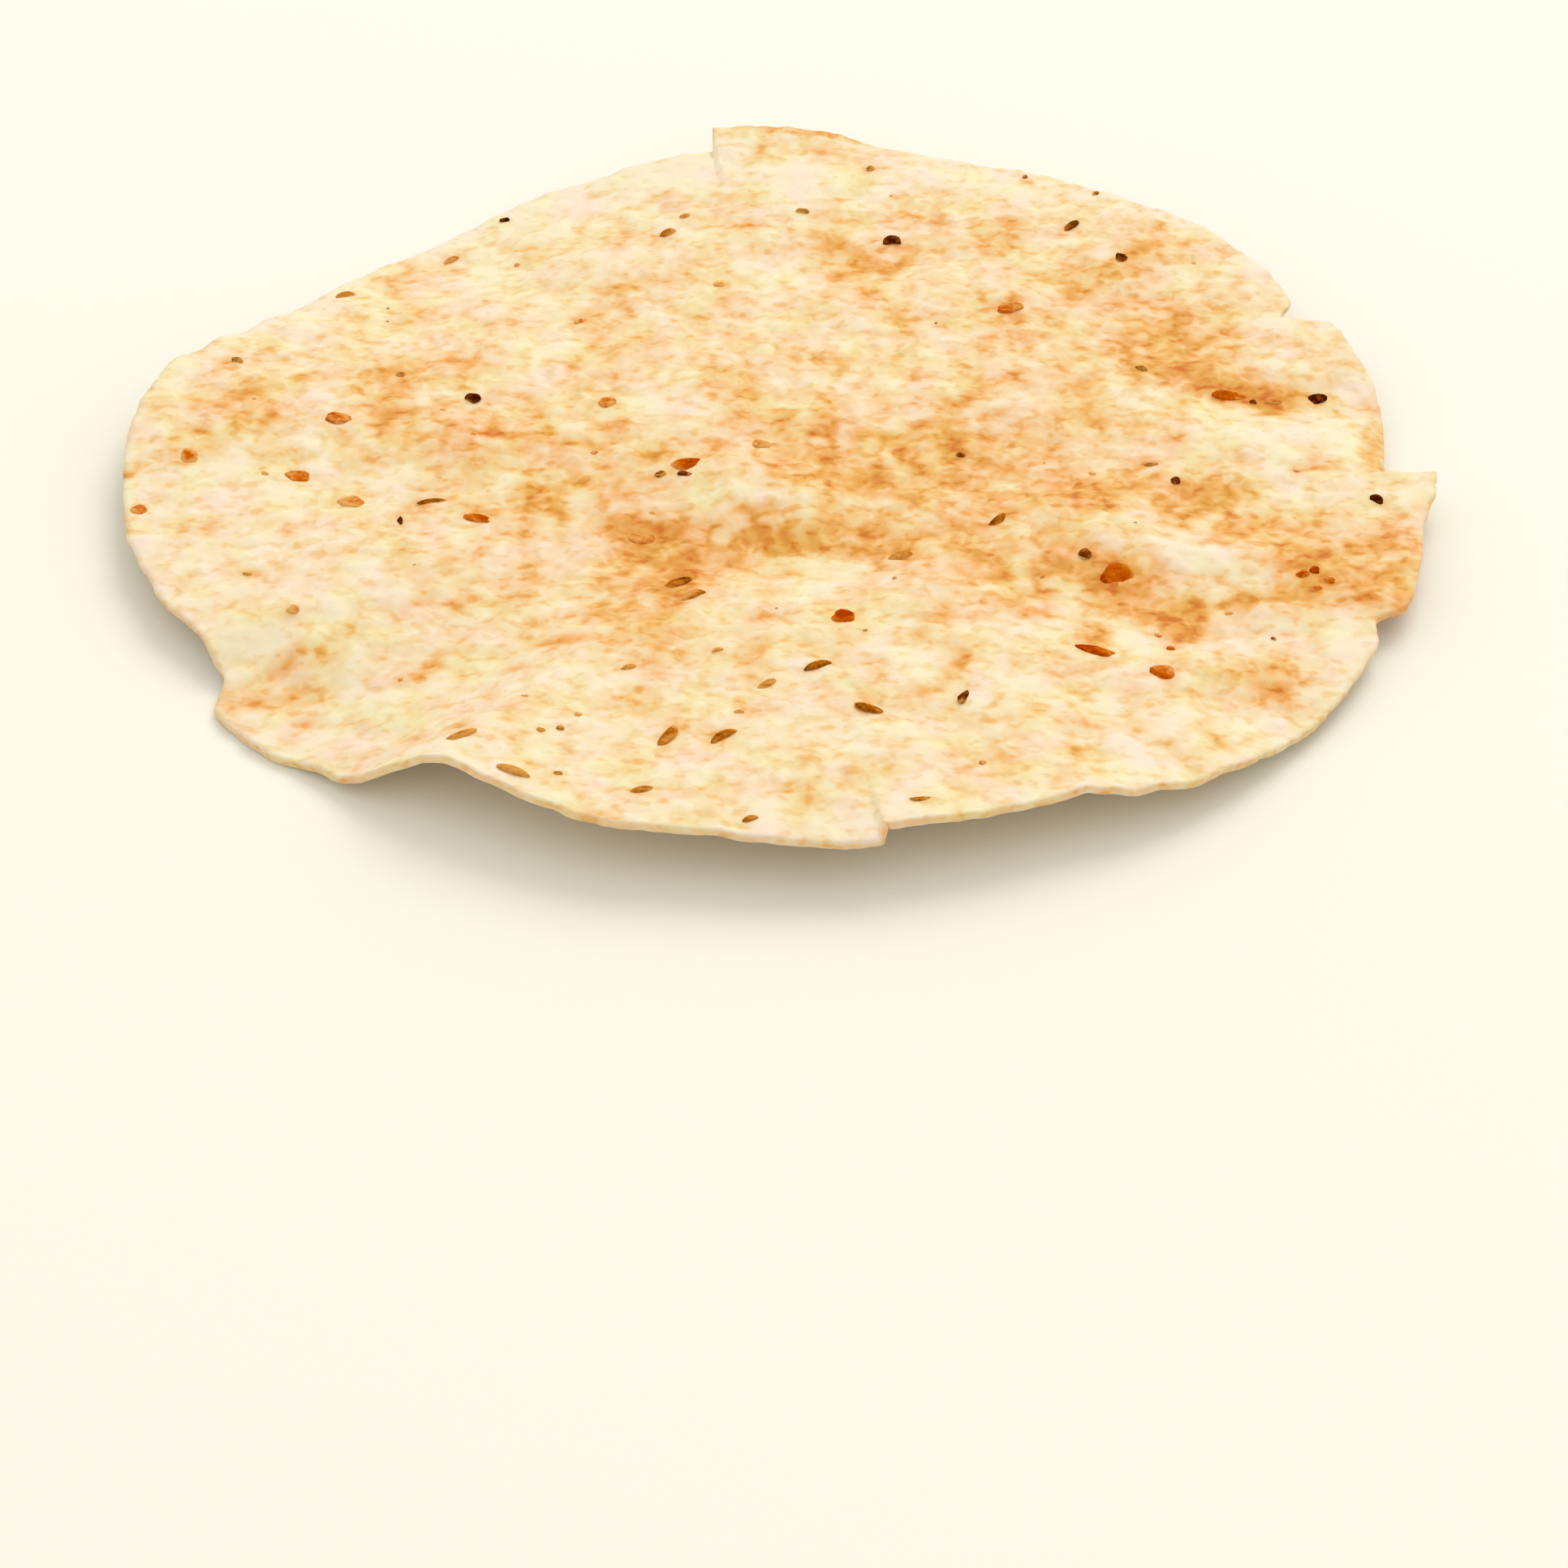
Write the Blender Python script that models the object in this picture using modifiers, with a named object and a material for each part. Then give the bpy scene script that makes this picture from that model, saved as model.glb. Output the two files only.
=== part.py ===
"""A papadum: one thin crisp disc of fried lentil dough, wavy and blistered, with a rim that is
torn in places, and pepper bits, cumin seeds and husk flakes baked into its upper face.

The sheet is a square grid bent to a disc. Its rim runs through the crests, hollows and torn
corners in RIM, long swells and blisters raise its face, and Solidify gives it its thickness.
The seeds are low ellipsoids that one Boolean union fuses to the sheet.
"""

import math
import random

import bmesh
import bpy
import numpy as np
from mathutils import Euler, Matrix, Vector
from mathutils.bvhtree import BVHTree

MM = 0.001

# Sheet
BODY_RADIUS = 88.0 * MM
SHEET_THICKNESS = 1.1 * MM
GRID_STEPS = 42
RIM_REACH_POWER = 6
RIM_LIFT_POWER = 3
TORN_REACH_POWER = 20
TORN_LIFT_POWER = 16
REST_DEPTH = 4.3 * MM
REST_SOFTNESS = 0.25 * MM

# Rim, anticlockwise from +X: angle in degrees, distance from the middle and height, in mm.
RIM = (
    (6.0, 86.2, -3.0),
    (18.0, 86.6, -0.5),
    (24.5, 87.4, -0.4),
    (28.3, 81.8, -0.4),
    (30.5, 85.6, -0.3),
    (36.0, 87.6, -0.3),
    (46.0, 88.4, 0.4),
    (53.0, 87.6, 0.3),
    (64.0, 87.8, 0.2),
    (71.0, 86.8, 0.0),
    (80.0, 86.4, 0.0),
    (86.0, 88.2, 0.2),
    (98.0, 87.2, 0.0),
    (115.0, 87.2, -2.8),
    (131.0, 84.8, -4.9),
    (148.0, 85.6, -2.9),
    (155.0, 87.8, -1.3),
    (160.0, 90.6, -0.2),
    (166.0, 93.4, 0.9),
    (174.0, 93.8, 1.4),
    (190.0, 92.6, -0.5),
    (199.0, 90.6, -0.5),
    (207.0, 87.6, -0.5),
    (211.0, 87.4, -2.5),
    (214.5, 91.4, -3.8),
    (219.0, 91.2, -5.0),
    (228.0, 88.6, -3.2),
    (239.0, 84.1, 4.2),
    (254.0, 85.8, 3.0),
    (264.0, 84.2, 3.1),
    (280.0, 84.4, 3.3),
    (295.0, 84.4, 2.9),
    (301.0, 86.4, 1.2),
    (306.0, 87.2, -0.6),
    (320.0, 87.6, -2.8),
    (332.0, 87.0, -1.8),
    (335.5, 85.0, -1.6),
    (338.5, 88.2, -1.4),
    (346.0, 87.8, -1.4),
    (352.0, 86.8, -1.5),
)

# Torn places, where one side of the rim stands away from the other: angle of the tear, how far
# round that side runs (negative clockwise), in degrees, and its reach and lift at the tear, in mm.
TORN_SIDES = (
    (359.0, 9.0, -3.4, -2.0),
    (359.0, -6.2, 3.0, 1.5),
    (98.2, -15.0, 4.1, 2.0),
    (277.2, -14.0, 1.8, -1.6),
)

# Long swells of the face, in mm: middle x and y, half length, half width, turn in degrees, height.
SWELLS = (
    (-45.0, -8.0, 40.0, 11.0, -15.0, -1.0),
    (-5.0, -22.0, 26.0, 8.0, 3.0, -1.8),
    (24.0, -3.0, 24.0, 12.0, 15.0, -1.0),
    (58.0, 33.0, 15.0, 10.0, -30.0, -0.9),
    (67.0, 17.0, 16.0, 5.0, 5.0, -1.0),
    (68.0, 6.0, 18.0, 6.0, 0.0, 1.2),
    (60.0, -12.0, 12.0, 8.0, 0.0, -0.9),
    (46.0, -29.0, 14.0, 6.0, 0.0, -1.2),
    (57.0, -22.0, 12.0, 4.5, -10.0, 1.0),
    (57.0, -38.0, 13.0, 6.0, -15.0, -1.0),
    (53.0, -46.0, 13.0, 5.0, 10.0, 0.9),
    (10.0, 54.0, 16.0, 7.0, 0.0, -0.8),
    (3.0, 76.0, 12.0, 6.0, 0.0, 0.8),
    (-14.0, 13.0, 10.0, 8.0, 0.0, 0.6),
    (-4.0, -8.0, 12.0, 6.0, 0.0, 0.9),
    (-27.0, -36.0, 13.0, 7.0, 20.0, -0.7),
    (-68.0, -50.0, 13.0, 9.0, -35.0, -1.4),
)

# Blisters
BLISTER_COUNT = 90
BLISTER_RADIUS = (3.5 * MM, 7.0 * MM)
BLISTER_HEIGHT = (0.2 * MM, 0.55 * MM)
BLISTER_SEED = 5

# Seeds: kind, x, y, length and width in mm, turn in degrees, on the sheet as it stands in the end.
# The pepper is cracked, and the husk is in flat flakes.
SEEDS = (
    ("pepper", -78.5, 22.4, 2.2, 1.7, -40),
    ("pepper", -44.0, 12.9, 2.9, 2.7, 20),
    ("pepper", 17.0, 56.9, 3.2, 2.7, 0),
    ("pepper", 51.0, 50.4, 2.7, 2.6, 40),
    ("pepper", 77.5, 15.4, 3.8, 2.8, -5),
    ("pepper", 82.5, -11.1, 2.2, 2.2, 30),
    ("pepper", 41.5, -24.6, 2.1, 2.2, 30),
    ("pepper", 23.5, -58.6, 3.4, 2.0, 80),
    ("cumin", -65.0, 45.4, 3.2, 1.3, 25),
    ("cumin", -50.0, 57.4, 3.0, 1.3, 40),
    ("cumin", -17.0, 59.4, 2.7, 1.5, 15),
    ("cumin", 44.5, 60.4, 3.4, 1.4, 50),
    ("cumin", -48.0, -11.6, 4.3, 0.8, 14),
    ("cumin", 16.5, -24.1, 3.9, 1.7, 30),
    ("cumin", 30.0, -16.1, 3.2, 1.4, 45),
    ("cumin", -13.5, -30.1, 4.4, 1.7, 32),
    ("cumin", -11.5, -33.9, 3.9, 1.6, 32),
    ("cumin", 5.0, -51.1, 4.1, 1.4, 25),
    ("cumin", -1.5, -55.1, 3.4, 1.3, 42),
    ("cumin", 11.5, -61.1, 4.0, 1.6, -22),
    ("cumin", -14.0, -66.6, 5.0, 1.9, 68),
    ("cumin", -7.0, -67.1, 4.2, 1.4, 38),
    ("cumin", -40.0, -69.6, 4.6, 1.3, 18),
    ("cumin", -33.0, -76.6, 4.7, 1.6, -22),
    ("cumin", -17.0, -78.6, 3.2, 1.1, 12),
    ("husk", -82.5, -2.1, 2.8, 2.8, 0),
    ("husk", -67.0, -5.6, 3.5, 2.7, -10),
    ("husk", -62.5, 7.4, 3.9, 2.7, 0),
    ("husk", -59.0, -11.6, 3.9, 2.7, 0),
    ("husk", -41.5, -15.6, 4.2, 1.9, -12),
    ("husk", -24.5, 11.9, 2.8, 2.7, 0),
    ("husk", -13.0, -3.6, 4.8, 2.7, 5),
    ("husk", -2.5, 1.4, 2.6, 2.3, 0),
    ("husk", 8.5, -39.6, 3.5, 3.3, 10),
    ("husk", 34.0, 36.9, 4.0, 2.6, 25),
    ("husk", 45.5, -28.6, 4.4, 3.9, 0),
    ("husk", 41.5, -46.6, 5.4, 2.2, -20),
    ("husk", 50.0, -51.1, 3.2, 3.3, 20),
    ("husk", 72.0, -30.1, 4.2, 3.2, 0),
)
SEED_HEIGHT = {"pepper": 1.5 * MM, "cumin": 1.3 * MM, "husk": 0.9 * MM}
SEED_SUNK = 0.55
SEED_SEGMENTS = 6
SEED_RINGS = 4

RAY_START = 50.0 * MM

# Colour, roughness
FINISHES = {
    "papadum": ((0.93, 0.76, 0.48), 0.75),
    "pepper": ((0.045, 0.022, 0.012), 0.60),
    "cumin": ((0.22, 0.11, 0.035), 0.65),
    "husk": ((0.36, 0.10, 0.025), 0.60),
}


def clear_scene():
    """Removes every object of the open scene."""
    for obj in list(bpy.data.objects):
        bpy.data.objects.remove(obj, do_unlink=True)


def make_collection(name):
    collection = bpy.data.collections.new(name)
    bpy.context.scene.collection.children.link(collection)
    return collection


def make_material(name):
    colour, roughness = FINISHES[name]
    material = bpy.data.materials.new(name)
    material.use_nodes = True
    shader = material.node_tree.nodes["Principled BSDF"]
    shader.inputs["Base Color"].default_value = (*colour, 1.0)
    shader.inputs["Roughness"].default_value = roughness
    shader.inputs["Metallic"].default_value = 0.0
    return material


def square_to_disc(across, up):
    """Polar form of a point of the square -1..1: nested squares become nested rings."""
    flat = np.abs(across) >= np.abs(up)
    ring = np.maximum(np.abs(across), np.abs(up))
    safe_across = np.where(across == 0, 1.0, across)
    safe_up = np.where(up == 0, 1.0, up)
    angle = np.where(
        flat,
        math.pi / 4 * up / safe_across + np.where(across < 0, math.pi, 0.0),
        math.pi / 2 - math.pi / 4 * across / safe_up + np.where(up < 0, math.pi, 0.0),
    )
    return ring, angle


def rim_at(angle):
    """Reach and lift of the rim at an angle: level at each row of RIM and smooth between rows."""
    rows = np.array([(degrees, reach * MM, lift * MM) for degrees, reach, lift in RIM])
    turn = (360.0, 0.0, 0.0)
    rows = np.vstack([rows[-1] - turn, rows, rows[0] + turn])
    degrees = np.degrees(angle) % 360.0
    before = np.searchsorted(rows[:, 0], degrees, side="right") - 1
    start, end = rows[before], rows[before + 1]
    share = (degrees - start[:, 0]) / (end[:, 0] - start[:, 0])
    share = share * share * (3.0 - 2.0 * share)
    return [start[:, i] + (end[:, i] - start[:, i]) * share for i in (1, 2)]


def torn_at(angle):
    """Reach and lift that the torn sides add: whole at the tear, and fading to nothing round it."""
    reach = np.zeros_like(angle)
    lift = np.zeros_like(angle)
    for tear, run, side_reach, side_lift in TORN_SIDES:
        past = ((np.degrees(angle) - tear) * math.copysign(1.0, run)) % 360.0
        share = np.exp(-((past / abs(run)) ** 2))
        reach += side_reach * MM * share
        lift += side_lift * MM * share
    return reach, lift


def mound(x, y, middle, half_length, half_width, turn, height):
    """A smooth oval swelling of the face; a negative height is a hollow."""
    along = (x - middle[0]) * math.cos(turn) + (y - middle[1]) * math.sin(turn)
    across = (y - middle[1]) * math.cos(turn) - (x - middle[0]) * math.sin(turn)
    return height * np.exp(-((along / half_length) ** 2) - (across / half_width) ** 2)


def swells(x, y):
    total = np.zeros_like(x)
    for row_x, row_y, length, width, turn, height in SWELLS:
        middle = (row_x * MM, row_y * MM)
        total += mound(x, y, middle, length * MM, width * MM, math.radians(turn), height * MM)
    return total


def blisters(x, y):
    """Low round bubbles, spread evenly over the disc."""
    draw = random.Random(BLISTER_SEED)
    total = np.zeros_like(x)
    for _ in range(BLISTER_COUNT):
        distance = BODY_RADIUS * math.sqrt(draw.random())
        bearing = draw.uniform(0.0, 2.0 * math.pi)
        middle = (distance * math.cos(bearing), distance * math.sin(bearing))
        radius = draw.uniform(*BLISTER_RADIUS)
        total += mound(x, y, middle, radius, radius, 0.0, draw.uniform(*BLISTER_HEIGHT))
    return total


def settle(height):
    """Levels what would hang below the surface that the sheet rests on, so that it has feet."""
    return -REST_DEPTH + REST_SOFTNESS * np.logaddexp(0.0, (height + REST_DEPTH) / REST_SOFTNESS)


def face_points(across, up):
    """The upper face: what the rim does fades towards the middle, and the relief is added."""
    ring, angle = square_to_disc(across, up)
    reach, lift = rim_at(angle)
    torn_reach, torn_lift = torn_at(angle)
    distance = (
        BODY_RADIUS * ring
        + (reach - BODY_RADIUS) * ring**RIM_REACH_POWER
        + torn_reach * ring**TORN_REACH_POWER
    )
    x = distance * np.cos(angle)
    y = distance * np.sin(angle)
    rim_height = lift * ring**RIM_LIFT_POWER + torn_lift * ring**TORN_LIFT_POWER
    return np.stack([x, y, settle(rim_height + swells(x, y) + blisters(x, y))], axis=1)


def apply_modifiers(obj):
    bpy.context.view_layer.objects.active = obj
    for modifier in list(obj.modifiers):
        bpy.ops.object.modifier_apply(modifier=modifier.name)


def make_sheet(collection):
    """The sheet: its upper face, split into triangles and made solid by Solidify."""
    mesh = bpy.data.meshes.new("papadum")
    shape = bmesh.new()
    bmesh.ops.create_grid(shape, x_segments=GRID_STEPS, y_segments=GRID_STEPS, size=1.0)
    square = np.array([vert.co for vert in shape.verts])
    for vert, point in zip(shape.verts, face_points(square[:, 0], square[:, 1])):
        vert.co = point
    bmesh.ops.triangulate(shape, faces=shape.faces, quad_method="BEAUTY")
    bmesh.ops.recalc_face_normals(shape, faces=shape.faces)
    if sum(face.normal.z for face in shape.faces) < 0:
        bmesh.ops.reverse_faces(shape, faces=shape.faces)
    shape.to_mesh(mesh)
    shape.free()
    mesh.materials.append(make_material("papadum"))
    sheet = bpy.data.objects.new("papadum", mesh)
    collection.objects.link(sheet)
    thickness = sheet.modifiers.new("thickness", "SOLIDIFY")
    thickness.thickness = SHEET_THICKNESS
    thickness.offset = -1.0
    apply_modifiers(sheet)
    return sheet


def seed_mesh(kind, material):
    """A low ball, one unit long and wide and as high as its kind, with few faces."""
    mesh = bpy.data.meshes.new(kind)
    shape = bmesh.new()
    bmesh.ops.create_uvsphere(shape, u_segments=SEED_SEGMENTS, v_segments=SEED_RINGS, radius=0.5)
    bmesh.ops.triangulate(shape, faces=shape.faces)
    bmesh.ops.scale(shape, vec=Vector((1.0, 1.0, SEED_HEIGHT[kind])), verts=shape.verts)
    shape.to_mesh(mesh)
    shape.free()
    mesh.materials.append(material)
    return mesh


def make_seeds(sheet, collection):
    """Lays each seed on the sheet, turned to the slope there and sunk by its share."""
    shape = bmesh.new()
    shape.from_mesh(sheet.data)
    face_tree = BVHTree.FromBMesh(shape)
    shape.free()
    meshes = {kind: seed_mesh(kind, make_material(kind)) for kind in SEED_HEIGHT}
    down = Vector((0.0, 0.0, -1.0))
    for kind, x, y, length, width, turn in SEEDS:
        above = Vector((x * MM, y * MM, RAY_START))
        point, normal, _, _ = face_tree.ray_cast(above, down)
        slope = (-down).rotation_difference(normal).to_matrix().to_4x4()
        raised = (0.5 - SEED_SUNK) * SEED_HEIGHT[kind]
        seed = bpy.data.objects.new(kind, meshes[kind])
        seed.matrix_world = (
            Matrix.Translation(point + normal * raised)
            @ slope
            @ Euler((0.0, 0.0, math.radians(turn))).to_matrix().to_4x4()
            @ Matrix.Diagonal((length * MM, width * MM, 1.0, 1.0))
        )
        collection.objects.link(seed)


def fuse_seeds(sheet, collection):
    """Joins the seeds to the sheet in one union, then removes them."""
    union = sheet.modifiers.new("seeds", "BOOLEAN")
    union.operation = "UNION"
    union.operand_type = "COLLECTION"
    union.collection = collection
    union.solver = "EXACT"
    union.material_mode = "TRANSFER"
    apply_modifiers(sheet)
    for seed in list(collection.objects):
        bpy.data.objects.remove(seed, do_unlink=True)
    bpy.data.collections.remove(collection)


def stand_on_origin(sheet):
    """Moves the mesh so that the origin is under the middle of its box, at its lowest point."""
    points = np.array([vertex.co for vertex in sheet.data.vertices])
    low, high = points.min(axis=0), points.max(axis=0)
    middle = (low + high) / 2
    sheet.data.transform(Matrix.Translation((-middle[0], -middle[1], -low[2])))


def main():
    clear_scene()
    part = make_collection("papadum_part")
    sheet = make_sheet(part)
    stand_on_origin(sheet)
    seeds = make_collection("seeds")
    make_seeds(sheet, seeds)
    fuse_seeds(sheet, seeds)


main()
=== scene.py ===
"""A fried papadum: one thin crisp sheet of lentil dough, wavy, blistered and toasted in patches,
with pepper bits, cumin seeds and chilli husk baked into its upper face.

Lengths in the tables below are in millimetres, and everything that is built is in metres.
"""

import logging
import math
import random
from dataclasses import dataclass, field
from enum import Enum

import bmesh
import bpy
import numpy as np
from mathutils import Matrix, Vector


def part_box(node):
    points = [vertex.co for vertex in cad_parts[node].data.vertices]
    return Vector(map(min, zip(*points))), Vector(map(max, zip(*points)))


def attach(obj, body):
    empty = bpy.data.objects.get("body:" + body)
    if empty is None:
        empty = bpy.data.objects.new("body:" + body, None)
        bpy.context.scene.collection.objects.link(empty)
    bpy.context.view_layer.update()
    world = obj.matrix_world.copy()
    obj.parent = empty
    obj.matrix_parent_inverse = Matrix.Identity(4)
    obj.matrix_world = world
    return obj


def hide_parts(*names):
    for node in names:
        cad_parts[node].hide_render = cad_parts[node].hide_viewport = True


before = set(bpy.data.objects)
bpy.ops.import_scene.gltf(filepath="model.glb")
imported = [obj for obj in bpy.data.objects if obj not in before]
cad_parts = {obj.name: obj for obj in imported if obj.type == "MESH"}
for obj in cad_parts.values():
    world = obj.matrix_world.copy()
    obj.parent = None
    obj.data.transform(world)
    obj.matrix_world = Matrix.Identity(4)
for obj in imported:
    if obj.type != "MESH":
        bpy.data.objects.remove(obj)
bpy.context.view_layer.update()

MM = 0.001
NODE = "papadum"
BODY = "root"
LOG = logging.getLogger("papadum")

Array = np.ndarray
Colour = tuple[float, float, float]
Row = tuple[float, ...]


# ---------------------------------------------------------------------------------------------
# Small helpers
# ---------------------------------------------------------------------------------------------


def linear(code: str) -> Colour:
    """Turns an sRGB hex colour to linear red, green and blue.

    Args:
        code: The colour, such as "#F3D7AA".

    Returns:
        The three linear channels, each from 0 to 1.
    """
    channels = [int(code[start : start + 2], 16) / 255 for start in (1, 3, 5)]
    return tuple(c / 12.92 if c <= 0.04045 else ((c + 0.055) / 1.055) ** 2.4 for c in channels)


def add_node(
    tree: bpy.types.NodeTree,
    kind: str,
    settings: dict | None = None,
    links: dict | None = None,
) -> bpy.types.Node:
    """Adds one shader node with its settings and links.

    Args:
        tree: The node tree that gets the node.
        kind: Blender's name of the node type.
        settings: Values by property name or input, properties first. "stops" holds the place
            and hex colour of each stop of a colour ramp, and "range" the two ends that a Map
            Range reads and the two that it gives.
        links: The output socket that feeds each input, by input name or index.

    Returns:
        The new node.
    """
    node = tree.nodes.new(kind)
    for name, value in (settings or {}).items():
        if name == "stops":
            while len(node.color_ramp.elements) < len(value):
                node.color_ramp.elements.new(1.0)
            for stop, (place, code) in zip(node.color_ramp.elements, value):
                stop.position = place
                stop.color = (*linear(code), 1.0)
        elif name == "range":
            for end, number in zip(("From Min", "From Max", "To Min", "To Max"), value):
                node.inputs[end].default_value = number
        elif isinstance(name, int) or name in node.inputs:
            node.inputs[name].default_value = value
        else:
            setattr(node, name, value)
    for name, source in (links or {}).items():
        tree.links.new(source, node.inputs[name])
    return node


def new_material(name: str) -> tuple[bpy.types.Material, bpy.types.NodeTree, bpy.types.Node]:
    """Makes a node material.

    Args:
        name: The material's name.

    Returns:
        The material, its node tree and its Principled shader.
    """
    material = bpy.data.materials.new(name)
    material.use_nodes = True
    tree = material.node_tree
    return material, tree, tree.nodes["Principled BSDF"]


def mesh_object(name: str, points: Array, triangles: Array) -> bpy.types.Object:
    """Makes a smooth mesh object, at the origin, from arrays.

    Args:
        name: The object's name.
        points: One row of x, y and z for each vertex.
        triangles: One row of three vertex numbers for each face, anticlockwise from outside.

    Returns:
        The object, linked to the scene.
    """
    mesh = bpy.data.meshes.new(name)
    mesh.vertices.add(len(points))
    mesh.vertices.foreach_set("co", points.astype(np.float32).ravel())
    mesh.loops.add(triangles.size)
    mesh.loops.foreach_set("vertex_index", triangles.astype(np.int32).ravel())
    mesh.polygons.add(len(triangles))
    mesh.polygons.foreach_set("loop_start", np.arange(0, triangles.size, 3, dtype=np.int32))
    mesh.update(calc_edges=True)
    mesh.validate()
    mesh.shade_smooth()
    piece = bpy.data.objects.new(name, mesh)
    bpy.context.scene.collection.objects.link(piece)
    return piece


def set_attribute(piece: bpy.types.Object, name: str, values: Array) -> None:
    """Stores one number for each vertex of a piece.

    Args:
        piece: The mesh object.
        name: The attribute's name.
        values: The numbers, in the order of the vertices.
    """
    attribute = piece.data.attributes.new(name, "FLOAT", "POINT")
    attribute.data.foreach_set("value", values.astype(np.float32).ravel())


def grid_triangles(rows: int, columns: int) -> Array:
    """Splits a grid of vertices, numbered row by row, into triangles that face +Z.

    Args:
        rows: How many rows of vertices.
        columns: How many vertices in a row.

    Returns:
        Rows of three vertex numbers, with the diagonals of a disc grid: each runs towards the
        middle of the grid, so that no corner of the disc gets a sliver.
    """
    row, column = np.meshgrid(np.arange(rows - 1), np.arange(columns - 1), indexing="ij")
    low_left = (row * columns + column).ravel()
    low_right, up_left = low_left + 1, low_left + columns
    up_right = up_left + 1
    outward = ((2 * row - rows + 2) * (2 * column - columns + 2) >= 0).ravel()
    first = np.where(
        outward, np.stack([low_left, low_right, up_right]), np.stack([low_left, low_right, up_left])
    )
    second = np.where(
        outward, np.stack([low_left, up_right, up_left]), np.stack([low_right, up_right, up_left])
    )
    return np.concatenate([first.T, second.T])


# ---------------------------------------------------------------------------------------------
# Fields over the face
# ---------------------------------------------------------------------------------------------

NOISE_CELLS = 256


def rolling(x: Array, y: Array, spacing: float, seed: int) -> Array:
    """Smooth gradient noise from about -1 to 1: at each point of a square lattice a random slope
    starts from zero, and the four slopes round a place are eased into each other. The ease is
    six times the share of the way to the fifth, less fifteen to the fourth, plus ten cubed.

    Args:
        x: Places along x, in metres.
        y: Places along y, in metres.
        spacing: The lattice's spacing, in metres.
        seed: The number that the random slopes start from.

    Returns:
        The noise at each place.
    """
    bearing = np.random.default_rng(seed).uniform(0, 2 * math.pi, (NOISE_CELLS, NOISE_CELLS))
    column, row = x / spacing, y / spacing
    left, low = np.floor(column).astype(int), np.floor(row).astype(int)
    across, up = column - left, row - low

    def slope(i: int, j: int) -> Array:
        """The height of one lattice point's slope: its direction dotted with the way to it."""
        angle = bearing[(left + i) % NOISE_CELLS, (low + j) % NOISE_CELLS]
        return np.cos(angle) * (across - i) + np.sin(angle) * (up - j)

    ease_across = across**3 * (across * (across * 6 - 15) + 10)
    ease_up = up**3 * (up * (up * 6 - 15) + 10)
    below = slope(0, 0) + (slope(1, 0) - slope(0, 0)) * ease_across
    above = slope(0, 1) + (slope(1, 1) - slope(0, 1)) * ease_across
    return 1.5 * (below + (above - below) * ease_up)


def bubbles(x: Array, y: Array, spacing: float, seed: int) -> Array:
    """Round bubbles, one in each cell of a square grid and off its middle by chance. A bubble is
    one minus its squared distance over its squared radius, squared, times its own share of the
    height, from 0.3 to 1. Its radius is 0.45 to 0.9 of a cell. Where bubbles meet, the higher
    one shows.

    Args:
        x: Places along x, in metres.
        y: Places along y, in metres.
        spacing: The size of a cell, in metres.
        seed: The number that the random draws start from.

    Returns:
        The height at each place, from 0 to 1.
    """
    draw = np.random.default_rng(seed)
    shift_x, shift_y, size, share = draw.uniform(0.0, 1.0, (4, NOISE_CELLS, NOISE_CELLS))
    column, row = x / spacing, y / spacing
    left, low = np.floor(column).astype(int), np.floor(row).astype(int)
    height = np.zeros_like(x)
    for i in (-1, 0, 1):
        for j in (-1, 0, 1):
            cell = (left + i) % NOISE_CELLS, (low + j) % NOISE_CELLS
            away_x = column - (left + i + 0.15 + 0.7 * shift_x[cell])
            away_y = row - (low + j + 0.15 + 0.7 * shift_y[cell])
            radius = 0.45 + 0.45 * size[cell]
            inside = np.clip(1.0 - (away_x**2 + away_y**2) / radius**2, 0.0, 1.0)
            height = np.maximum(height, inside**2 * (0.3 + 0.7 * share[cell]))
    return height


def mounds(x: Array, y: Array, rows: tuple[Row, ...]) -> Array:
    """A sum of smooth ovals: height times e to the minus squared distance along over half length
    squared, plus squared distance across over half width squared.

    Args:
        x: Places along x, in metres.
        y: Places along y, in metres.
        rows: Middle x and y, half length, half width (mm), turn (degrees) and height of each.

    Returns:
        The sum at each place, in the unit of the heights.
    """
    total = np.zeros_like(x)
    for middle_x, middle_y, half_length, half_width, turn, height in rows:
        cos, sin = math.cos(math.radians(turn)), math.sin(math.radians(turn))
        away_x, away_y = x - middle_x * MM, y - middle_y * MM
        along = (away_x * cos + away_y * sin) / (half_length * MM)
        across = (away_y * cos - away_x * sin) / (half_width * MM)
        total += height * np.exp(-(along**2) - across**2)
    return total


# ---------------------------------------------------------------------------------------------
# Finishes
# ---------------------------------------------------------------------------------------------


# The range that most of the shader's noise lies in.
NOISE_RANGE = (0.3, 0.7)


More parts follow.
